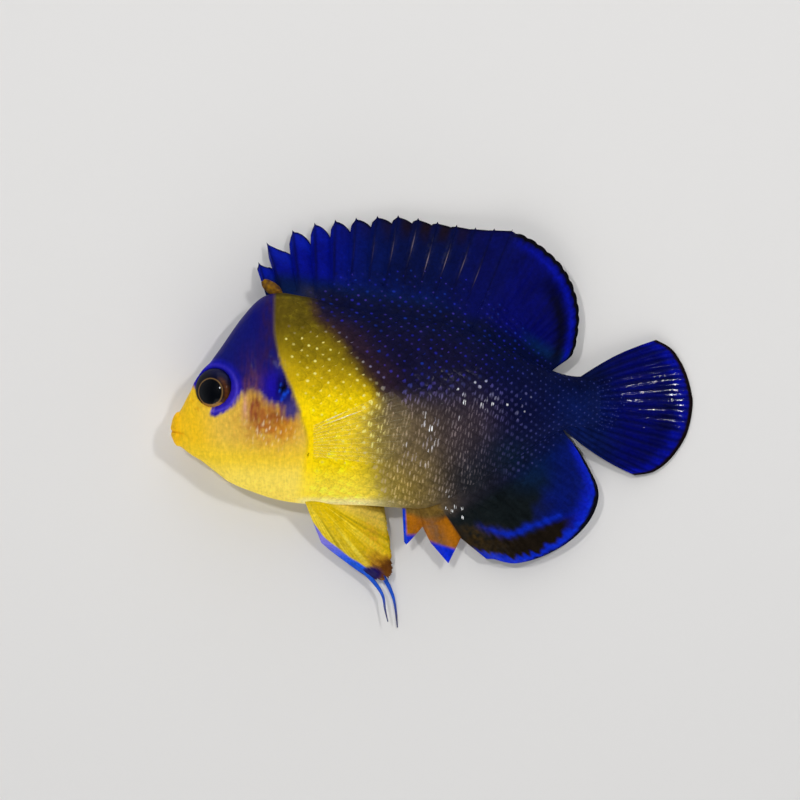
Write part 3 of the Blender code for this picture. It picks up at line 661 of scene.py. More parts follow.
# Dorsal fin
# Fourteen stiff spines with notched membrane between, running on into a rounded lobe of soft
# branched rays. The lower half is covered by small scales with blue flecks, the edge is black.


def off_ray(phase):
    """How far points are from the nearest ray, as a share of the step between rays."""
    return np.abs((phase + 0.5) % 1 - 0.5)


def ray_ridge(phase, out):
    """Cross-section of a soft ray that forks in two on its way to the edge."""
    return hill(off_ray(phase) - 0.22 * step_up(0.35, 0.9, out), 0.09)


def drawn_in(edges, roots, amount):
    """A fin's edge points drawn towards their roots, each by an amount in millimetres."""
    inward = roots - edges
    return edges + inward / np.linalg.norm(inward, axis=1)[:, None] * amount[:, None]


root_depth = 1.6


def fin(roots, edges, phase, rows, height, half, bow=0.0):
    """Thin closed fin whose columns run from the roots to the edges, as a bmesh and its points' places."""
    last = len(roots) - 1
    bm = bmesh.new()
    bmesh.ops.create_grid(bm, x_segments=last, y_segments=rows, size=1)
    lower = len(bm.verts)
    bmesh.ops.extrude_face_region(bm, geom=bm.faces[:])
    unit = vertices(bm)
    column = np.rint((unit[:, 0] + 1) / 2 * last).astype(int)
    out, across = (unit[:, 1] + 1) / 2, column / last
    side = np.where(np.arange(len(unit)) < lower, -1, 1)
    flat = roots[column] + (edges[column] - roots[column]) * out[:, None]
    flat[:, 1] += bow * (1 - 2 * across) * np.sin(np.pi * out)
    x, y = flat.T
    span, phase = np.linalg.norm(edges - roots, axis=1)[column], phase[column]
    to_edge = span * (1 - out)
    thickness = half(x, out, phase, span * out, across) * (1 - 0.75 * step_up(0.25, 0.0, to_edge))
    z = height(x, y, out) + side * thickness
    shape(bm, np.column_stack([flat, np.maximum(z, 0.0)]))
    return bm, x, y, out, phase, to_edge, across


def droop(tip_height, power=1.3):
    """Middle surface of a fin that sags from the body's middle plane to a height at its edge."""
    def height(x, y, out):
        ripple = 0.13 * grain(x, y, 3.1, 20.0) * step_up(0.1, 0.6, out)
        return middle(x) + (line_through(tip_height, x) - middle(x)) * out ** power + ripple
    return height


def fillet(x, from_root, start):
    """Thickening of a fin's scaled base, which runs smoothly into the body behind a start."""
    share = 0.1 + 0.36 * step_up(start, start + 5, x)
    return share * line_through(width_knots, x) * np.exp(-from_root / 1.9)


def soft_half(start):
    """Half the thickness of membrane and soft rays, with a fleshy root behind a start."""
    def half(x, out, phase, from_root, across):
        return 0.06 + fillet(x, from_root, start) + 0.028 * ray_ridge(phase, out) * step_up(0.15, 0.4, out)
    return half


# Wet fin membrane: colour and the weight of the clear wet film both come with the mesh, so that
# tail and fin edges glisten in streaks and drops while the rest stays deep and even.
wet_fin, tree, principled = new_material("wet_fin", Roughness=0.45, IOR=1.4, Specular_IOR_Level=0.03,
                                         Coat_Roughness=0.04, Coat_IOR=1.33)
paint = node(tree, "VertexColor", layer_name="paint")
film = node(tree, "Attribute", attribute_name="film")
where = node(tree, "TexCoord").outputs["Object"]
fine = node(tree, "TexNoise", {"Vector": where, "Scale": 4200, "Detail": 2})
lift = node(tree, "MapRange", {0: fine, 3: 0.62, 4: 1.38})
toned = node(tree, "VectorMath", {"Vector": paint, "Scale": lift}, operation="SCALE")
bump = node(tree, "Bump", {"Height": fine, "Strength": 0.5, "Distance": 0.00006})
ripple = node(tree, "Bump", {"Height": fine, "Strength": 0.12, "Distance": 0.00006})
pools = node(tree, "TexNoise", {"Vector": where, "Scale": 2600, "Detail": 1})
drops = node(tree, "MapRange", {0: pools, 1: 0.45, 2: 0.55, 3: 0.1})
wet = node(tree, "Math", {0: drops, 1: film.outputs["Fac"]}, operation="MULTIPLY")
feed(principled, {"Base Color": toned, "Coat Weight": wet, "Normal": bump, "Coat Normal": ripple})

dorsal_tip_height = ((9, 1.3), (20, 1.1), (30, 1.5), (36, 2.0), (42, 2.4), (43, 2.2))
spines, first_root, root_step = 14, 10.7, 1.57
within_step = (0, 0.035, 0.08, 0.14, 0.22, 0.31, 0.41, 0.51, 0.6, 0.68, 0.73, 0.76, 0.79, 0.84, 0.9, 0.96)


def spine_tip(number):
    """Tips of dorsal spines, numbered from 1, from the even line that the tips follow."""
    tips = ((9.8, 16.45), (12.6, 17.8), (14.9, 18.6), (17.2, 18.95), (23.8, 19.4), (27.4, 18.8), (31.9, 18.1),
            (35.9, 17.9))
    x = 9.89 + 25.97 * (np.maximum(number - 2, 0) / 12) ** 0.9 - 0.27 * hill(number - 5.5, 2.0)
    first, second = np.array((9.04, 14.41)), np.array((9.89, 16.51))
    front = first + (second - first) * (np.minimum(number, 2) - 1)[:, None]
    return np.where(number[:, None] <= 2, front, np.column_stack([x, line_through(tips, x)]))


between_spines = (np.arange(spines - 1)[:, None] + within_step).ravel()
count = np.concatenate([(-0.2, -0.12, -0.05), between_spines, (spines - 1,)])
number, step = np.floor(np.maximum(count, 0)) + 1, count - np.floor(np.maximum(count, 0))
notch = ((-0.2, 0.25), (0, 0), (0.2, 0.1), (0.4, 0.3), (0.6, 0.62), (0.72, 0.9), (0.76, 1), (0.79, 0.5),
         (0.9, 0.2), (1, 0))
drop = np.interp(step, *np.transpose(notch))
drop += 0.25 * np.sin(math.pi * np.clip(step / 0.76, 0, 1)) * (number < 3)
root_x = first_root + root_step * count
roots = np.column_stack([root_x, line_through(back_knots, root_x) - root_depth])
here, following = spine_tip(number), spine_tip(np.minimum(number + 1, spines))
edges = here + (following - here) * np.maximum(step, 0)[:, None]
edges[:, 0] += np.minimum(step, 0) * 2
edges = drawn_in(edges, roots, 2.2 * np.exp(-(number / 6.5) ** 2.3) * drop - 0.22 * hill(step, 0.04))


def spiny_half(x, out, phase, from_root, across):
    """Half the thickness of membrane and spines, the spines round and tapering to their tips."""
    spine = (0.1 - 0.06 * out) * hill(off_ray(phase), 0.07) * step_up(0.2, 0.5, out)
    return 0.05 + fillet(x, from_root, 13) + spine


bm, x, y, out, phase, to_edge, across = fin(roots, edges, count % 1, 64, droop(dorsal_tip_height), spiny_half)
behind_spine, off_spine = (phase + 0.5) % 1 - 0.5, off_ray(phase)
place = across * (spines - 1)
nearest_spine = np.round(place)
painted_streak_height = 6.3 + 2.4 * grain(nearest_spine * 3.7, nearest_spine, 1.0, 33.0)
above = y - line_through(back_knots, x)
cloud, fleck = grain(x, y, 1.6, 31.0), grain(x, y, 0.4, 32.0)
brown_edge = step_up(2.6, 0.4, to_edge + 0.8 * cloud) * step_up(0.05, 0.4, off_spine)
# painted highlight: thin pale lines just behind the upper spines, standing in for the wet glint on them
painted_highlight_streak = hill(behind_spine - 0.035, 0.02) * hill(above - painted_streak_height, 0.9)
tint = painted("#03114f", [
    ("#030a80", 0.85 * step_up(6.5, 3.0, place) * step_up(1.0, 3.0, above)),
    ("#0a20a8", 0.6 * step_up(5, 2, place) * step_up(2.4, 0.6, to_edge)),
    ("#041c3e", 0.6 * step_up(2.5, 0.5, above)),
    ("#030a33", 0.7 * step_up(5.5, 8.0, place) * step_up(1.0, 4.0, above)),
    ("#170d14", 0.95 * hill(place - 9.0, 3.4) * brown_edge),
    ("#04094e", step_up(9.5, 12.5, place)),
    ("#06060f", 0.9 * step_up(0.3, 0.05, to_edge - 0.2 * cloud)),
    ("#07092e", 0.6 * hill(off_spine, 0.08) * step_up(0.2, 0.5, out)),
    # painted highlight streaks behind the spines
    ("#8a7884", 0.8 * painted_highlight_streak * hill(place - 9.6, 2.4) * step_up(0.2, 0.5, to_edge)),
]) * (1 + 0.25 * cloud + 0.25 * fleck)[:, None]
tint = painted(tint, [(markings(x, y), step_up(2.0, 0.2, above) * step_up(12.5, 17, x))])
spiny = piece("dorsal_spines", bm, wet_fin, "blue_fin", "dorsal_fin_spiny")
coat(spiny, tint, 0.003 + hill(place - 9.5, 3) * hill(above - 6.8, 1.8) * hill(off_spine, 0.14))

sub_columns = 10
soft_margin = ((35.72, 17.9), (37.4, 17.3), (39.2, 16.1), (41.2, 14.1), (42.5, 11.5), (42.95, 8.6),
               (42.4, 5.2), (41.2, 3.95), (39.9, 3.7))
soft_rays = 16
share = np.linspace(0, 1, (soft_rays - 1) * sub_columns + 1)
root_x = 30.95 + 8.4 * share
roots = np.column_stack([root_x, line_through(back_knots, root_x) - root_depth])
phase = share * (soft_rays - 1) % 1
edges = drawn_in(along(soft_margin, share), roots, 0.12 * hill(phase - 0.5, 0.2))
bm, x, y, _, _, to_edge, across = fin(roots, edges, phase, 72, droop(dorsal_tip_height), soft_half(13))
cloud, fleck = grain(x, y, 1.6, 41.0), grain(x, y, 0.4, 42.0)
streak = grain(across * 40, to_edge * 0.3, 1.0, 43.0)
above = y - line_through(back_knots, x)
tint = painted("#020556", [
    ("#052a52", 0.8 * step_up(3.2, 1.0, above) * step_up(36, 38.5, x)),
    ("#04094e", step_up(0.22, 0.0, across)),
    ("#01020e", 0.9 * hill(to_edge - 2.5 + 0.3 * streak, 0.9) * step_up(0.2, 0.5, across)),
    ("#040d8c", 0.95 * hill(to_edge - 1.05 + 0.15 * streak, 0.42) * step_up(0.0, 0.15, across)),
    ("#07060c", step_up(0.55, 0.4, to_edge + 0.08 * streak) * step_up(-0.02, 0.06, across)),
]) * (1 + 0.22 * cloud + 0.22 * fleck + 0.3 * streak)[:, None]
tint = painted(tint, [(markings(x, y), step_up(2.2, 0.3, above))])
soft = piece("dorsal_soft_rays", bm, wet_fin, "blue_fin", "dorsal_fin_soft")
coat(soft, tint, hill(np.hypot(x - 35.9, y - 17.2), 0.4))

bm = bmesh.new()
bmesh.ops.create_uvsphere(bm, u_segments=40, v_segments=30, radius=1)
unit = vertices(bm)
lumps = 1 + 0.12 * grain(unit[:, 0] * 2, unit[:, 1] * 2 + unit[:, 2], 0.8, 46.0)
lean = np.array(Matrix.Rotation(math.radians(52), 3, "Z"))
spots = (unit * (0.66, 1.3, 0.6) * lumps[:, None]) @ lean.T + (10.5, 11.75, 4.2)
shape(bm, spots)
sheath = piece("dorsal_sheath", bm, wet_fin, "blue_fin")
fleck = grain(spots[:, 0], spots[:, 1], 0.4, 47.0)
coat(sheath, painted("#8a6210", [("#4c3220", 0.5 + fleck)]), 0.1)

fin_scale_lift = 0.006
scaled_height = ((12.5, 0.3), (14, 1.2), (17, 3.0), (21, 4.0), (28, 4.7), (33, 4.5), (37, 2.7), (40, 0.7))


def fin_roots(side, knots, base, sign, tip_height):
    """Roots of the scales on one face of a fin's base, up to a height above its root line."""
    roots = []
    rng = np.random.default_rng(21 if side > 0 else 22)
    for x, y, size in lattice():
        x, y = (x, y) + rng.normal(0, 0.07, 2) * size
        above = sign * (y - line_through(base, x))
        reach = line_through(knots, x)
        if knots[0][0] < x < knots[-1][0] and -0.3 < above < reach * rng.uniform(0.85, 1.1):
            out = max(above, 0)
            z = middle(x) + (line_through(tip_height, x) - middle(x)) * (out / 9) ** 1.3 + side * 0.4
            roots.append((x, y, z, size * (1 - 0.07 * out), bake_place(x), 0.3 + 0.2 * side + y / 80))
    return np.array(roots)


for item, low, high, word in ((spiny, 12.5, 31.0, "spines"), (soft, 31.0, 40.0, "soft")):
    for side, side_word in sides:
        places = fin_roots(side, scaled_height, back_knots, 1, dorsal_tip_height)
        places = places[(places[:, 0] > low) & (places[:, 0] <= high)]
        name = "scales_dorsal_%s_%s" % (word, side_word)
        dress_scales(name, side, places, item, fin_scale_lift, "blue_fin")

# Anal fin
# Two short spined lobes, orange with blue tips, then a rounded lobe of soft rays: dark scaled
# base, brown front edge with a wavy blue line, bright blue margin and a thin black rear edge.

anal_margin = ((33.9, -16.85), (36.1, -17.3), (39.0, -16.6), (41.9, -15.0), (43.9, -13.0), (44.9, -10.9),
               (44.9, -9.2), (44.0, -7.2), (42.6, -4.9), (41.4, -3.9))
lobes = ((24.15, 24.4, -15.0), (24.5, 24.65, -15.3), (25.0, 25.5, -14.4), (25.5, 26.36, -13.42),
         (25.8, 27.2, -15.1), (26.2, 29.09, -17.28), (26.7, 29.8, -15.9), (27.2, 30.41, -14.62),
         (27.7, 33.13, -16.83))
lobe_phases = (0.5, 0, 0.3, 0.5, 0.75, 1, 1.3, 1.6, 2, 2.3)
lobe_steps, notch_lobe = 9, 7
anal_rays = 17
share = np.linspace(0, 1, (anal_rays - 1) * sub_columns + 1)
fine_lobes = np.linspace(0, len(lobes) - 1, (len(lobes) - 1) * lobe_steps + 1)
lobe_x, lobe_edge_x, lobe_edge_y = [np.interp(fine_lobes, range(len(lobes)), part)
                                    for part in np.transpose(lobes)]
bridge = np.linspace(0, 1, 8)[1:-1, None]
soft_edges = along(anal_margin, share)
lobe_edges = np.column_stack([lobe_edge_x, lobe_edge_y])
edges = np.vstack([lobe_edges, lobe_edges[-1] + (soft_edges[0] - lobe_edges[-1]) * bridge, soft_edges])
root_x = np.concatenate([lobe_x, lobe_x[-1] + (28.6 - lobe_x[-1]) * bridge[:, 0], 28.6 + 12.2 * share])
roots = np.column_stack([root_x, line_through(belly_knots, root_x) + root_depth])
lobe_phase = np.interp(fine_lobes, range(len(lobe_phases)), lobe_phases)
phase = np.concatenate([lobe_phase, 0.3 + 0.4 * bridge[:, 0], share * (anal_rays - 1)]) % 1
anal_tip_height = ((24, 2.4), (30, 2.0), (36, 1.9), (42, 1.9), (45, 1.9))
bm, x, y, _, _, to_edge, across = fin(roots, edges, phase, 66, droop(anal_tip_height), soft_half(27))
cloud, fleck = grain(x, y, 1.3, 51.0), grain(x, y, 0.4, 52.0)
streak = grain(across * 60, to_edge * 0.3, 1.0, 53.0)
blue_line = along(((31.2, -12.9), (33.5, -13.7), (35.1, -14.15), (36.4, -14.0), (37.6, -13.4), (39.2, -12.9),
                   (40.8, -12.2)), np.linspace(0, 1, 60))
to_line = off_curve(blue_line, x, y)
below = line_through(belly_knots, x) - y
past_notch = across - notch_lobe * lobe_steps / (len(roots) - 1)
in_lobes = step_up(0.004, -0.004, past_notch)
orange = in_lobes * step_up(0.1, 0.9, below - 0.25 * (x - 24.3) + 0.3 * cloud)
tip = np.maximum(step_up(0, 0.4, -14.8 - 0.31 * (x - 27.3) - y) * step_up(26.3, 26.8, x),
                 step_up(-14.0, -14.5, y) * step_up(26.8, 26.3, x))
brown_front = step_up(-0.1, 0.5, -14.3 - y + 0.42 * np.maximum(x - 36.6, 0) + 0.4 * cloud)
black_edge = to_edge + 0.16 * streak + 0.36 * step_up(-12, -15.5, y)
tint = painted("#06135e", [
    ("#101618", step_up(40.6, 37.4, x - 0.1 * (y + 12) + cloud) * step_up(-6, -9, y)),
    ("#071c38", 0.8 * hill(x - 38, 2.4) * step_up(-11, -8, y)),
    ("#0a1cb4", 0.9 * step_up(2.8, 0.8, to_edge + 0.5 * streak) * step_up(39, 41.5, x - 0.2 * (y + 10))),
    ("#17110b", brown_front * step_up(43.2, 41.0, x)),
    ("#34260e", 0.8 * hill(x - 31.5, 3.0) * step_up(-12.6, -14.0, y) * (0.7 + fleck)),
    ("#0824a8", 0.95 * hill(to_line + 0.2 * cloud, 0.36 + 0.15 * streak) * step_up(31.5, 34.5, x)),
    ("#0a28bc", step_up(1.1, 0.5, to_edge + 0.9 * streak) * step_up(31.5, 32.8, x)),
    (markings(x, y), step_up(2.4, 0.4, below) * step_up(24.5, 26, x)),
    ("#755a26", in_lobes * step_up(1.8, 0.6, below)),
    ("#a8640a", orange),
    ("#7c5430", orange * hill(x - 27.3 + 0.45 * (y + 13), 0.9) * (0.9 + fleck)),
    ("#0a2ad0", in_lobes * tip),
    ("#0d38c0", step_up(24.75, 24.5, x + 0.05 * (y + 13)) * step_up(-11.2, -11.6, y)),
    ("#0b0a12", step_up(0.66, 0.44, black_edge) * step_up(36, 39, x)),
]) * (1 + 0.2 * cloud + 0.25 * fleck + 0.3 * streak)[:, None]
wet_lobes = 0.35 * step_up(33, 27, x - 0.5 * (y + 12)) * step_up(-11.5, -13, y)
wet_edge = 0.3 * step_up(1.6, 0.4, to_edge) * step_up(31, 33, x) * step_up(-12, -14, y)
anal = piece("anal_fin_membrane", bm, wet_fin, "blue_fin", "anal_fin")
coat(anal, tint, 0.004 + wet_lobes + wet_edge + 0.1 * hill(to_edge - 2, 1.2))

anal_scaled_height = ((25, 0.5), (27, 1.6), (30, 3.2), (34, 3.4), (38, 2.4), (41, 0.4))
for side, side_word in sides:
    places = fin_roots(side, anal_scaled_height, belly_knots, -1, anal_tip_height)
    dress_scales("scales_anal_" + side_word, side, places, anal, fin_scale_lift, "blue_fin")

# Tail fin
# A fan of seventeen forked rays under clear wet film, deep blue with a thin black-brown rear edge.

tail_margin = ((51.2, 6.4), (52.9, 5.4), (54.2, 3.4), (54.95, 1.0), (55.1, -0.8), (54.5, -3.6),
               (52.9, -6.1), (51.0, -7.6), (48.9, -8.0))
tail_root, tail_rays, tail_base_scales = 42.5, 17, 190
share = np.linspace(0, 1, (tail_rays - 1) * sub_columns + 1)
roots = np.column_stack([tail_root - 1.4 * share, 2.1 - 5.1 * share])
edges = along(tail_margin, share)
phase = share * (tail_rays - 1) % 1


def tail_height(x, y, out):
    """Middle surface of the tail fin, gently waved across its rays."""
    wave = 0.06 * grain(x * 0.3, y, 1.4, 60.0) * step_up(0.1, 0.5, out)
    return middle(x) + wave * step_up(0.3, 0.6, middle(x))


def tail_half(x, out, phase, from_root, across):
    """Half the thickness of the tail fin, swelling to the width of the tail root."""
    root = 0.8 * (1 - out) ** 3.4 * (1 - (2 * across - 1) ** 2) ** 0.5
    ray = hill(off_ray(phase) - 0.24 * step_up(0.45, 0.9, out), 0.15)
    return 0.07 + root + 0.05 * ray * step_up(0.1, 0.3, out)


bm, x, y, _, phase, to_edge, across = fin(roots, edges, phase, 80, tail_height, tail_half, bow=0.45)
cloud, fleck = grain(x, y, 1.5, 61.0), grain(x, y, 0.4, 62.0)
streak = grain(across * 50, to_edge * 0.25, 1.0, 63.0)
dark_band = hill(to_edge - 2.7, 1.3) * step_up(0.0, 0.5, streak + 0.2) * hill(across - 0.5, 0.3)
tint = painted("#02065a", [
    (markings(x, y), step_up(48.5, 44.0, x + 0.5 * cloud)),
    ("#05109c", 0.7 * step_up(2.2, 0.9, to_edge + 0.7 * streak)),
    ("#01031c", 0.75 * dark_band),
    ("#01041e", 0.5 * step_up(0.2, 0.45, off_ray(phase))),
    ("#130a0c", step_up(0.56, 0.34, to_edge + 0.1 * streak)),
]) * (1 + 0.2 * cloud + 0.25 * fleck + 0.25 * streak)[:, None]
wet_middle = hill(across - 0.42, 0.13) * step_up(45.8, 46.8, x) * step_up(0.6, 1.7, to_edge)
wet_spot = 0.8 * hill(np.hypot((x - 50.3) * 0.6, (y + 5.6 + 0.3 * (x - 50)) * 1.5), 0.8)
tail = piece("tail_fan", bm, wet_fin, "blue_fin", "caudal_fin")
coat(tail, tint, 0.004 + wet_middle + wet_spot)

for side, side_word in sides:
    rng = np.random.default_rng(31)
    spots = [spot for spot in lattice() * (1, 1, 0.9) if spot[0] > 44.2 and abs(spot[1] + 0.4) < 2.6]
    for number in range(tail_base_scales):
        x, y = 45 + 3.2 * rng.random() ** 1.6, rng.uniform(-3.2, 2.4)
        if x + 0.5 * abs(y + 0.4) < 47.8:
            spots.append((x, y, 0.5))
    places = [(x, y, middle(x) + 0.5 * side, size, bake_place(x), 0.25 * side + 0.5) for x, y, size in spots]
    dress_scales("scales_tail_" + side_word, side, np.array(places), tail, fin_scale_lift, "blue_fin")

# Pectoral fins
# Small clear fans behind the gill cover, folded back along the flank, the right one under the body.

pectoral_rays = 12
# painted highlights on the first two rays: opacity, place along the ray and length
painted_ray_glints = ((0.7, 0.28, 0.07), (0.9, 0.38, 0.14))
share = np.linspace(0, 1, (pectoral_rays - 1) * sub_columns + 1)
pectoral_roots = np.linspace(pectoral_root[0], pectoral_root[1], len(share))
pectoral_edges = along(pectoral_margin, share)
pectoral_phase = share * (pectoral_rays - 1) % 1

# Clear fin membrane: thin skin with almost no pigment, so the flank shows through it and only its
# wet film catches the light.
clear_film, tree, principled = new_material("clear_fin_membrane", Roughness=0.12, IOR=1.36, Coat_Weight=0.6,
                                            Coat_Roughness=0.05, Alpha=0.025)
feed(principled, {"Base Color": node(tree, "VertexColor", layer_name="paint")})


def flank(x, y):
    """Half the body's thickness at points seen from the side."""
    centre, half = section(x)
    return half_width(x, np.clip((y - centre) / half, -1, 1))


def left_height(x, y, out):
    """Middle surface of the left pectoral fin, just off the scales."""
    return middle(x) + flank(x, y) + 0.3 + 0.3 * step_up(0.0, 0.5, out)


def right_height(x, y, out):
    """Middle surface of the right pectoral fin, flat on the floor."""
    return np.full(np.shape(x), 0.2)


def pectoral_half(x, out, phase, from_root, across):
    """Half the thickness of the pectoral fins' membrane and rays."""
    return 0.05 + 0.08 * (1 - out) + 0.06 * ray_ridge(phase, out) * (1 - 0.6 * out)


def tube(points, radius, tip_radius, steps=26, facets=10):
    """Tapering thread along a smooth curve, as a bmesh and the share along it of each point."""
    bm = bmesh.new()
    bmesh.ops.create_cone(bm, cap_ends=True, segments=facets, radius1=1, radius2=1, depth=2)
    lengthwise = [edge for edge in bm.edges if abs(edge.verts[0].co.z - edge.verts[1].co.z) > 1]
    bmesh.ops.subdivide_edges(bm, edges=lengthwise, cuts=steps)
    unit = vertices(bm)
    share = (unit[:, 2] + 1) / 2
    centre = along(points, share)
    heading = along(points, np.minimum(share + 0.02, 1)) - along(points, np.maximum(share - 0.02, 0))
    heading /= np.linalg.norm(heading, axis=1)[:, None]
    aside = np.column_stack([-heading[:, 1], heading[:, 0], np.zeros(len(share))])
    over = np.cross(heading, aside)
    thick = (radius + (tip_radius - radius) * share)[:, None]
    spots = centre + (aside * unit[:, :1] + over * unit[:, 1:2]) * thick
    spots[:, 2] = np.maximum(spots[:, 2], 0.0)
    shape(bm, spots)
    return bm, share


# Fin ray under the film: a pale bony thread, nearly clear; on two rays a short stretch is made
# opaque, so its pale colour and gloss show there as a painted highlight.
clear_ray, tree, principled = new_material("fin_ray_under_film", Base_Color=(*linear("#f4e6b8"), 1),
                                           Roughness=0.2, IOR=1.36, Coat_Weight=1.0, Coat_Roughness=0.04)
feed(principled, {"Alpha": node(tree, "Attribute", attribute_name="cover").outputs["Fac"]})

for side, word in sides:
    height = left_height if side > 0 else right_height
    bm, _, _, out, phase, *_ = fin(pectoral_roots, pectoral_edges, pectoral_phase, 44, height, pectoral_half)
    tint = painted("#e8d894", [("#d8b040", 0.8 * ray_ridge(phase, out) + 0.5 * step_up(0.4, 0.0, out))])
    pectoral = piece("pectoral_membrane_" + word, bm, clear_film, "clear_fin", "pectoral_fin_" + word)
    coat(pectoral, tint)
    bm = bmesh.new()
    cover = []
    for number in range(pectoral_rays):
        root, edge = pectoral_roots[number * sub_columns], pectoral_edges[number * sub_columns]
        out = np.linspace(0, 0.97, 6)
        line = root + (edge - root) * out[:, None]
        rise = height(line[:, 0], line[:, 1], out)
        ray, share = tube(np.column_stack([line, rise]), 0.07, 0.025, steps=14, facets=8)
        mesh = bpy.data.meshes.new("ray")
        ray.to_mesh(mesh)
        ray.free()
        bm.from_mesh(mesh)
        bpy.data.meshes.remove(mesh)
        # painted highlight: on the first two rays a short stretch is made nearly opaque
        bright, glint_place, glint_length = painted_ray_glints[number] if number < len(painted_ray_glints) else (0, 0, 1)
        cover.append(0.06 + bright * hill(share - glint_place, glint_length))
    rays = piece("pectoral_rays_" + word, bm, clear_ray, "clear_fin")
    store(rays, "cover", np.concatenate(cover))

# Pelvic fins
# Yellow fans under the belly with a bright blue front edge and a brown ragged tip. The first
# ray of each runs out into a long blue filament.

pelvic_margin = ((15.65, -15.15), (17.6, -16.7), (20.9, -18.9), (23.0, -18.7), (22.9, -15.6), (22.2, -11.5))
threads = {1: ((19.0, -17.0), (20.9, -18.9), (22.1, -20.6), (22.4, -22.2), (22.7, -23.5)),
           -1: ((20.6, -16.9), (22.2, -18.8), (23.2, -20.8), (23.55, -22.6), (23.7, -24.2))}
lead = along(((13.7, -10.5), (14.6, -13.2), (15.65, -15.1), (17.6, -16.7), (19.8, -17.95), (20.9, -18.9)),
             np.linspace(0, 1, 60))
pelvic_rays = 8

for side, word in sides:
    shift = np.array((0, 0)) if side > 0 else np.array((0.1, 0.15))
    root_height = mid_height + side * 0.75
    tip_height = 1.75 if side > 0 else 0.3
    share = np.linspace(0, 1, (pelvic_rays - 1) * sub_columns + 1)
    roots = np.column_stack([13.7 + 1.6 * share, -9.9 - 0.2 * share]) + shift
    torn = (0.3 + 0.8 * hill(share - 0.58, 0.14)) * np.abs(grain(share * 34, share * 0, 1.0, 70.0 + side))
    torn *= step_up(0.38, 0.5, share)
    edges = drawn_in(along(pelvic_margin, share) + shift, roots, torn)

    def pelvic_height(x, y, out):
        """Middle surface of a pelvic fin, from its root by the belly to its tip near the floor."""
        return root_height + (tip_height - root_height) * out ** 1.2

    bm, x, y, out, _, to_edge, across = fin(roots, edges, share * (pelvic_rays - 1) % 1, 60, pelvic_height,
                                            soft_half(60))
    cloud, fleck = grain(x, y, 1.2, 71.0), grain(x, y, 0.4, 72.0)
    ray_streak = grain(across * 30, to_edge * 0.12, 1.0, 73.0)
    from_tip = np.hypot((x - 22.7) * 0.7, (y + 18.4) * 0.8) + 0.5 * cloud + 0.4 * fleck
    to_lead = off_curve(lead + shift, x, y)
    wide = 0.5 + 0.25 * hill(y + 15.6, 1.2) - 0.3 * step_up(-14, -12, y)
    tint = painted("#dcb904", [
        ("#b8a020", 0.6 * hill(across - 0.35, 0.2) * step_up(0.3, 0.8, out)),
        ("#9c8c1c", 0.7 * step_up(0.0, 0.5, -ray_streak) * step_up(0.15, 0.4, out)),
        ("#f2dc48", 0.6 * step_up(0.0, 0.5, ray_streak) * step_up(0.05, 0.3, out)),
        ("#d8a028", 0.7 * hill(x - 21.2, 1.2) * hill(y + 14.5, 3.0) * (0.6 + fleck)),
        ("#e2c862", 0.6 * step_up(0.78, 0.95, across) * step_up(-17, -14, y)),
        ("#a06a1c", 0.9 * step_up(2.4, 1.2, from_tip)),
        ("#582c10", 0.9 * step_up(1.5, 0.6, from_tip + 0.5 * ray_streak)),
        ("#0a54dc", step_up(wide + 0.1, wide - 0.08, to_lead + 0.06 * cloud)),
        ("#8a7ee0", 0.9 * hill(y + 14.6, 1.5) * step_up(wide + 0.1, wide - 0.1, to_lead)),
        ("#1c1250", step_up(1.1, 0.7, np.hypot((x - 20.9) * 0.8, y + 18.5) + 0.15 * cloud)),
    ]) * (1 + 0.12 * cloud + 0.12 * fleck)[:, None]
    pelvic = piece("pelvic_fan_" + word, bm, wet_fin, "yellow_fin", "pelvic_fin_" + word)
    coat(pelvic, tint, 0.25)
    thread_end = tip_height if side > 0 else 0.2
    rise = (tip_height + 0.35, tip_height, tip_height, thread_end, thread_end)
    bm, share = tube([(*spot, z) for spot, z in zip(threads[side], rise)], 0.34, 0.06)
    filament = piece("pelvic_filament_" + word, bm, wet_fin, "yellow_fin")
    coat(filament, painted("#2456c8", [("#46466c", step_up(0.55, 0.9, share))]), 0.15)

# Eyes
# A clear round lens and cornea over a dark brown iris with a thin gold ring. The eye is glossy
# and opaque here, its colour lying under a clear coat as the iris lies under the cornea.

# Cornea over iris: a sharp clear coat with a low IOR, as under water film, over a soft dark ground.
eye_gloss, tree, principled = new_material("clear_cornea_over_iris", Roughness=0.4, IOR=1.38, Coat_Weight=0.4,
                                           Coat_Roughness=0.02, Coat_IOR=1.3, Specular_IOR_Level=0.05)
feed(principled, {"Base Color": node(tree, "VertexColor", layer_name="paint")})
for side, word in sides:
    bm = bmesh.new()
    bmesh.ops.create_uvsphere(bm, u_segments=96, v_segments=96, radius=1)
    unit = vertices(bm)
    unit[:, 2] *= side
    turn, centre = eye_frame(side)
    far = np.hypot(unit[:, 0], unit[:, 1])
    local = unit * (eye_radius, eye_radius, eye_bulge)
    shape(bm, local @ turn.T + centre)
    streak = grain(np.arctan2(unit[:, 1], unit[:, 0]) * 9, far * 3, 1.0, 80.0)
    across_x, across_y = local[:, 0], local[:, 1]
    from_pupil = np.hypot(across_x + 0.05, across_y + 0.55)
    lower_rear = step_up(-0.6, 0.9, across_x - across_y) * (0.8 + 0.5 * streak)
    tint = painted("#07060e", [
        ("#07083a", 0.7 * step_up(0.6, 1.8, across_y + 0.4 * across_x)),
        ("#5a3014", 0.9 * hill(from_pupil - 1.75, 0.22) * lower_rear),
        ("#b07a28", 0.8 * step_up(-1.55, -1.8, across_y + 0.25 * streak)),
        ("#86663a", 0.95 * hill(from_pupil - 1.38, 0.05)),
        ("#03050a", step_up(1.32, 1.26, from_pupil)),
    ])
    coat(piece("eyeball_" + word, bm, eye_gloss, "eye", "eye_" + word), tint)

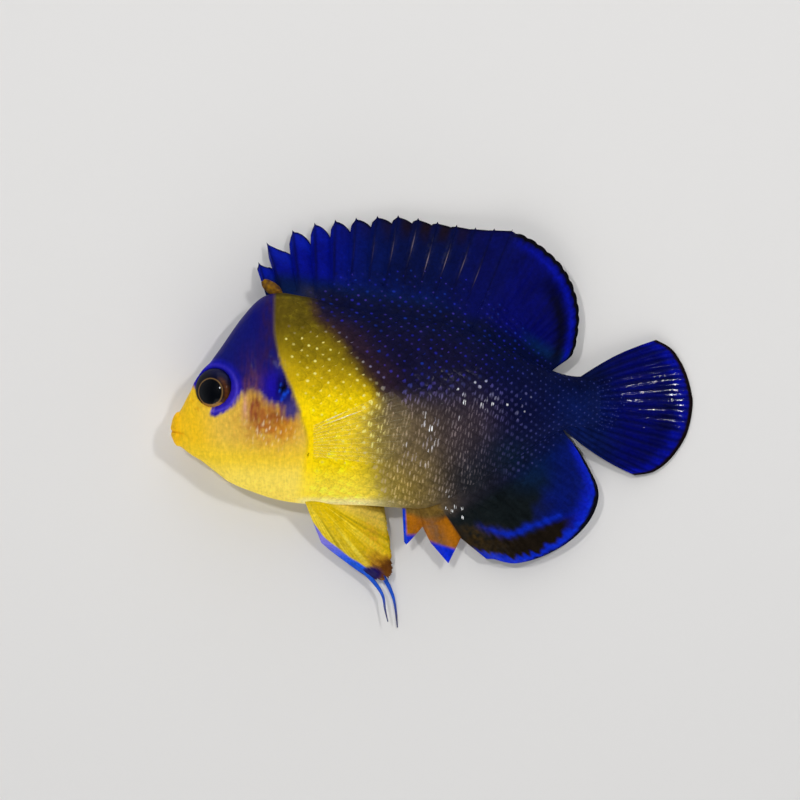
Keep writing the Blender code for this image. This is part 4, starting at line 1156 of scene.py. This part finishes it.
# Floor, light and camera
# A plain pale floor under soft light from above, with two small bright lamps by the camera
# that put the tight wet highlights on eye and scales, as a ring of small lamps would.

bm = bmesh.new()
bmesh.ops.create_grid(bm, x_segments=2, y_segments=2, size=1.5)
floor_mesh = bpy.data.meshes.new("floor")
bm.to_mesh(floor_mesh)
bm.free()
floor = bpy.data.objects.new("floor", floor_mesh)
bpy.context.scene.collection.objects.link(floor)
floor_mesh.materials.append(new_material("pale_floor", Base_Color=(*linear("#e2e0de"), 1), Roughness=0.6)[0])


def lamp(name, spot, size, watts, target=(0, 0, 0.004)):
    """Square area light that faces a target."""
    light = bpy.data.lights.new(name, "AREA")
    light.size = size
    light.energy = watts
    item = bpy.data.objects.new(name, light)
    item.location = spot
    item.rotation_euler = (Vector(target) - Vector(spot)).to_track_quat("-Z", "Y").to_euler()
    bpy.context.scene.collection.objects.link(item)


for name, bearing, height, watts in (("soft_left", 172, 0.2, 0.5), ("soft_right", -8, 0.2, 0.4),
                                     ("soft_front", -95, 0.14, 1.1), ("high_front", -95, 0.55, 3.7),
                                     ("high_back", 85, 0.55, 3.1)):
    turn = math.radians(bearing)
    lamp(name, (0.8 * math.cos(turn), 0.8 * math.sin(turn), height), 0.9, watts)
lamp("spark_left", (-0.1, 0.09, 0.33), 0.023, 0.31)
lamp("spark_right", (0.13, 0.1, 0.33), 0.023, 0.31)

world = bpy.data.worlds.new("studio")
world.use_nodes = True
tree = world.node_tree
upward = node(tree, "SeparateXYZ", {0: node(tree, "TexCoord").outputs["Generated"]}).outputs["Z"]
glow = node(tree, "MapRange", {0: upward, 1: 0.12, 2: 0.6, 3: 0.85, 4: 0.05})
feed(tree.nodes["Background"], {"Color": (0.9, 0.95, 1.0, 1), "Strength": glow})
bpy.context.scene.world = world

camera_height = 0.35
shown_width, sensor_width = 0.08413, 36
aimed_at = placed((23.98, 0, 0))
camera = bpy.data.objects.new("camera", bpy.data.cameras.new("camera"))
camera.data.sensor_width = sensor_width
camera.data.lens = sensor_width * (camera_height - mid_height * 0.001) / shown_width
camera.data.clip_start = 0.01
camera.location = (aimed_at[0], aimed_at[1], camera_height)
bpy.context.scene.collection.objects.link(camera)
bpy.context.scene.camera = camera
bpy.context.scene.view_settings.view_transform = "Standard"
